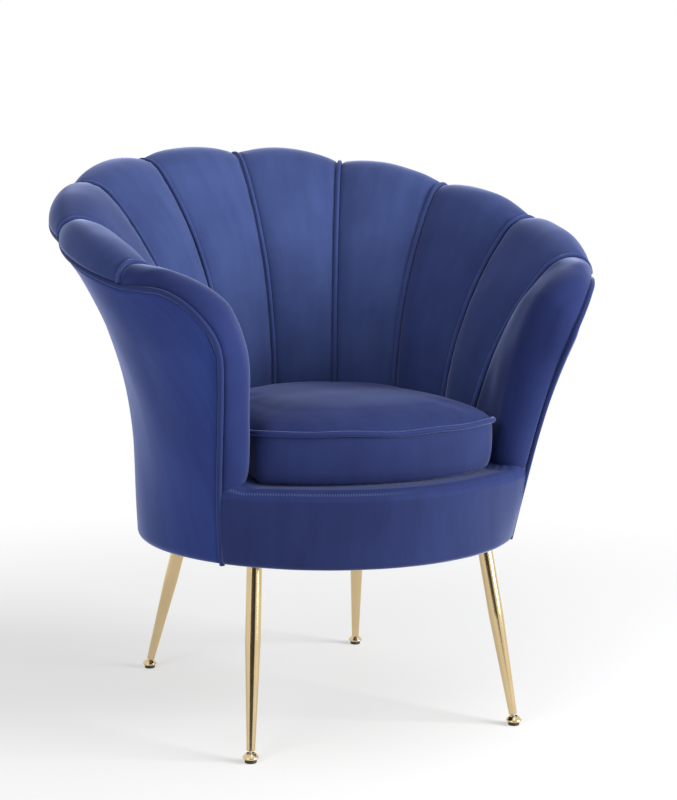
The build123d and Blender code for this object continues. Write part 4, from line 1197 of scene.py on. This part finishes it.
glide = {  # profiles of heights and radii, and the sides that they get
    "foot": ((0.0035, 0.001), (0.0035, 0.0072), (0.0038, 0.0079), (0.0066, 0.01035), (0.0071, 0.0106),
             (0.0076, 0.0106), (0.0082, 0.0101), (0.0118, 0.0071), (0.0123, 0.0064), (0.0123, 0.0057),
             (0.0098, 0.0042)),
    "pad": ((0, 0.001), (0, 0.0069), (0.0003, 0.0075), (0.0008, 0.00775), (0.003, 0.00775),
            (0.0035, 0.0074), (0.0035, 0.001)),
    "footSides": 56,
    "padSides": 40,
}


# Glide foot: a double cone with small rounded edges, and its pad under it
def glidePiece(place, name):
    ball = joints[f"glide_tilt_{place}"]["pos_m"]
    for part, slotName in (("foot", "gold"), ("pad", "glide_pad")):
        points, faces = turnedForm(glide[part], (ball[0], ball[1], 0), (0.0, 0.0, 1.0), glide[part + "Sides"])
        piece = meshPiece("glide" + part.title() + name, points, faces)
        dress(piece, f"foot_{place}", slotName, f"glide_{part}_{place}")


for place in ("front_right", "front_left", "back_right", "back_left"):
    legPiece(place, place.title().replace("_", ""))
    glidePiece(place, place.title().replace("_", ""))
print("legs and glides made")

# The frame's own pieces keep their solids and get their finishes
slots = {entry["node"]: entry["material_slot"] for entry in frame["record"]["subparts"]}
for node, solid in frame["nodes"].items():
    solid.data.materials.clear()
    solid.data.materials.append(finishes[slots[node]])
print("frame pieces finished")

studio = {
    "camera": (-0.96561, -2.20097, 0.72430),
    "azimuth": -24.317,
    "elevation": 7.874,
    "roll": 0.2,
    "focal": 1697.25,  # pixels
    "principal": (329.225, 426.113),
    "image": (677, 800),
    "sensor": 36.0,
    "worldLight": 0.42,
    "floor": (0.93, 0.93, 0.93, 1),
    "floorHalf": 9.0,
    "floorRough": 0.9,
    "floorFade": (0.55, 1.5),  # metres from the chair
    "floorGlow": 0.4,  # how much of the floor's white is its own, under the chair
    "cardAzimuth": -29.0,
    "cardHalf": 32.0,
    "cardAway": 3.4,
    "cardHeights": (0.0, 2.4),
}
lamps = {  # place, target, size, power
    "keyLamp": ((2.2, -2.1, 1.3), (0, 0, 0.45), (1.6, 1.6), 128),
    "fillLamp": ((-2.4, -1.7, 1.7), (0, 0, 0.45), (1.4, 1.8), 27),
    "topLamp": ((0.2, -0.4, 2.8), (0, -0.05, 0.4), (1.8, 1.8), 9),
}


def setCamera():
    width, height = studio["image"]
    lens = bpy.data.cameras.new("photoCamera")
    lens.sensor_width = studio["sensor"]
    lens.lens = studio["focal"] / height * studio["sensor"]
    lens.shift_x = (width / 2 - studio["principal"][0]) / height
    lens.shift_y = (studio["principal"][1] - height / 2) / height
    around, raised, roll = (np.radians(studio[key]) for key in ("azimuth", "elevation", "roll"))
    back = Vector((np.sin(around) * np.cos(raised), -np.cos(around) * np.cos(raised), np.sin(raised)))
    right = Vector((np.cos(around), np.sin(around), 0))
    up = back.cross(right)
    right, up = right * np.cos(roll) + up * np.sin(roll), up * np.cos(roll) - right * np.sin(roll)
    camera = bpy.data.objects.new("photoCamera", lens)
    turned = Matrix((right, up, back)).transposed().to_4x4()
    camera.matrix_world = Matrix.Translation(studio["camera"]) @ turned
    bpy.context.scene.collection.objects.link(camera)
    bpy.context.scene.camera = camera


def softLamp(name, place, target, size, power):
    lamp = bpy.data.lights.new(name, "AREA")
    lamp.shape = "RECTANGLE"
    lamp.size, lamp.size_y = size
    lamp.energy = power
    holder = bpy.data.objects.new(name, lamp)
    holder.location = place
    holder.rotation_euler = (Vector(target) - Vector(place)).to_track_quat("-Z", "Y").to_euler()
    bpy.context.scene.collection.objects.link(holder)


# A dark card behind the camera, seen only in polished metal
def darkCard():
    middle, half = np.radians(studio["cardAzimuth"]), np.radians(studio["cardHalf"])
    turn = middle + np.array([-half, half])
    ends = studio["cardAway"] * np.stack([np.sin(turn), -np.cos(turn)], axis=1)
    low, high = studio["cardHeights"]
    corners = [(*ends[0], low), (*ends[1], low), (*ends[1], high), (*ends[0], high)]
    card = meshPiece("darkCard", np.array(corners), [[0, 1, 2, 3]])
    black = plainFinish("cardBlack", (0.01, 0.01, 0.01, 1), (0.02, 0.02, 0.02, 1), 3.0, 0.8)
    card.data.materials.append(black)
    card.visible_diffuse = card.visible_shadow = card.visible_camera = False


# A pale floor that keeps the chair's shadow and turns to plain white away from it
def paleFloor():
    half = studio["floorHalf"]
    corners = np.array([(-half, -half, 0), (half, -half, 0), (half, half, 0), (-half, half, 0)])
    floor = meshPiece("floor", corners, [[0, 1, 2, 3]])
    material, kit = newFinish("paleFloor", {
        "Base Color": studio["floor"], "Roughness": studio["floorRough"], "Specular IOR Level": 0.0,
    })
    place = kit.make("ShaderNodeTexCoord", out=3)
    away = kit.make("ShaderNodeVectorMath", {"operation": "LENGTH"}, out=1, i0=place)
    near, far = studio["floorFade"]
    limits = {"i1": near, "i2": far, "i3": studio["floorGlow"], "i4": 1.0}
    fade = kit.make("ShaderNodeMapRange", {"interpolation_type": "SMOOTHSTEP"}, i0=away, **limits)
    white = kit.make("ShaderNodeEmission", Color=(1, 1, 1, 1), Strength=1.0)
    mixed = kit.make("ShaderNodeMixShader", i0=fade, i1=kit, i2=white)
    kit.tree.links.new(mixed.plug, kit.tree.nodes["Material Output"].inputs["Surface"])
    floor.data.materials.append(material)


# A white world: bright to the camera, to reflections and through glass, dimmer as a light
def whiteWorld():
    world = bpy.data.worlds.new("studioWorld")
    world.use_nodes = True
    background = world.node_tree.nodes["Background"]
    kit = Wire(world.node_tree, background.outputs[0])
    seen, glossy, through = (kit.make("ShaderNodeLightPath", out=k) for k in (0, 3, 6))
    shown = kit.math("MINIMUM", seen + glossy + through, 1.0)
    strength = studio["worldLight"] + shown * (1.0 - studio["worldLight"])
    kit.tree.links.new(strength.plug, background.inputs["Strength"])
    background.inputs["Color"].default_value = (1, 1, 1, 1)
    bpy.context.scene.world = world


setCamera()
paleFloor()
whiteWorld()
for name, settings in lamps.items():
    softLamp(name, *settings)
darkCard()
bpy.context.scene.view_settings.view_transform = "Standard"
print("studio set")
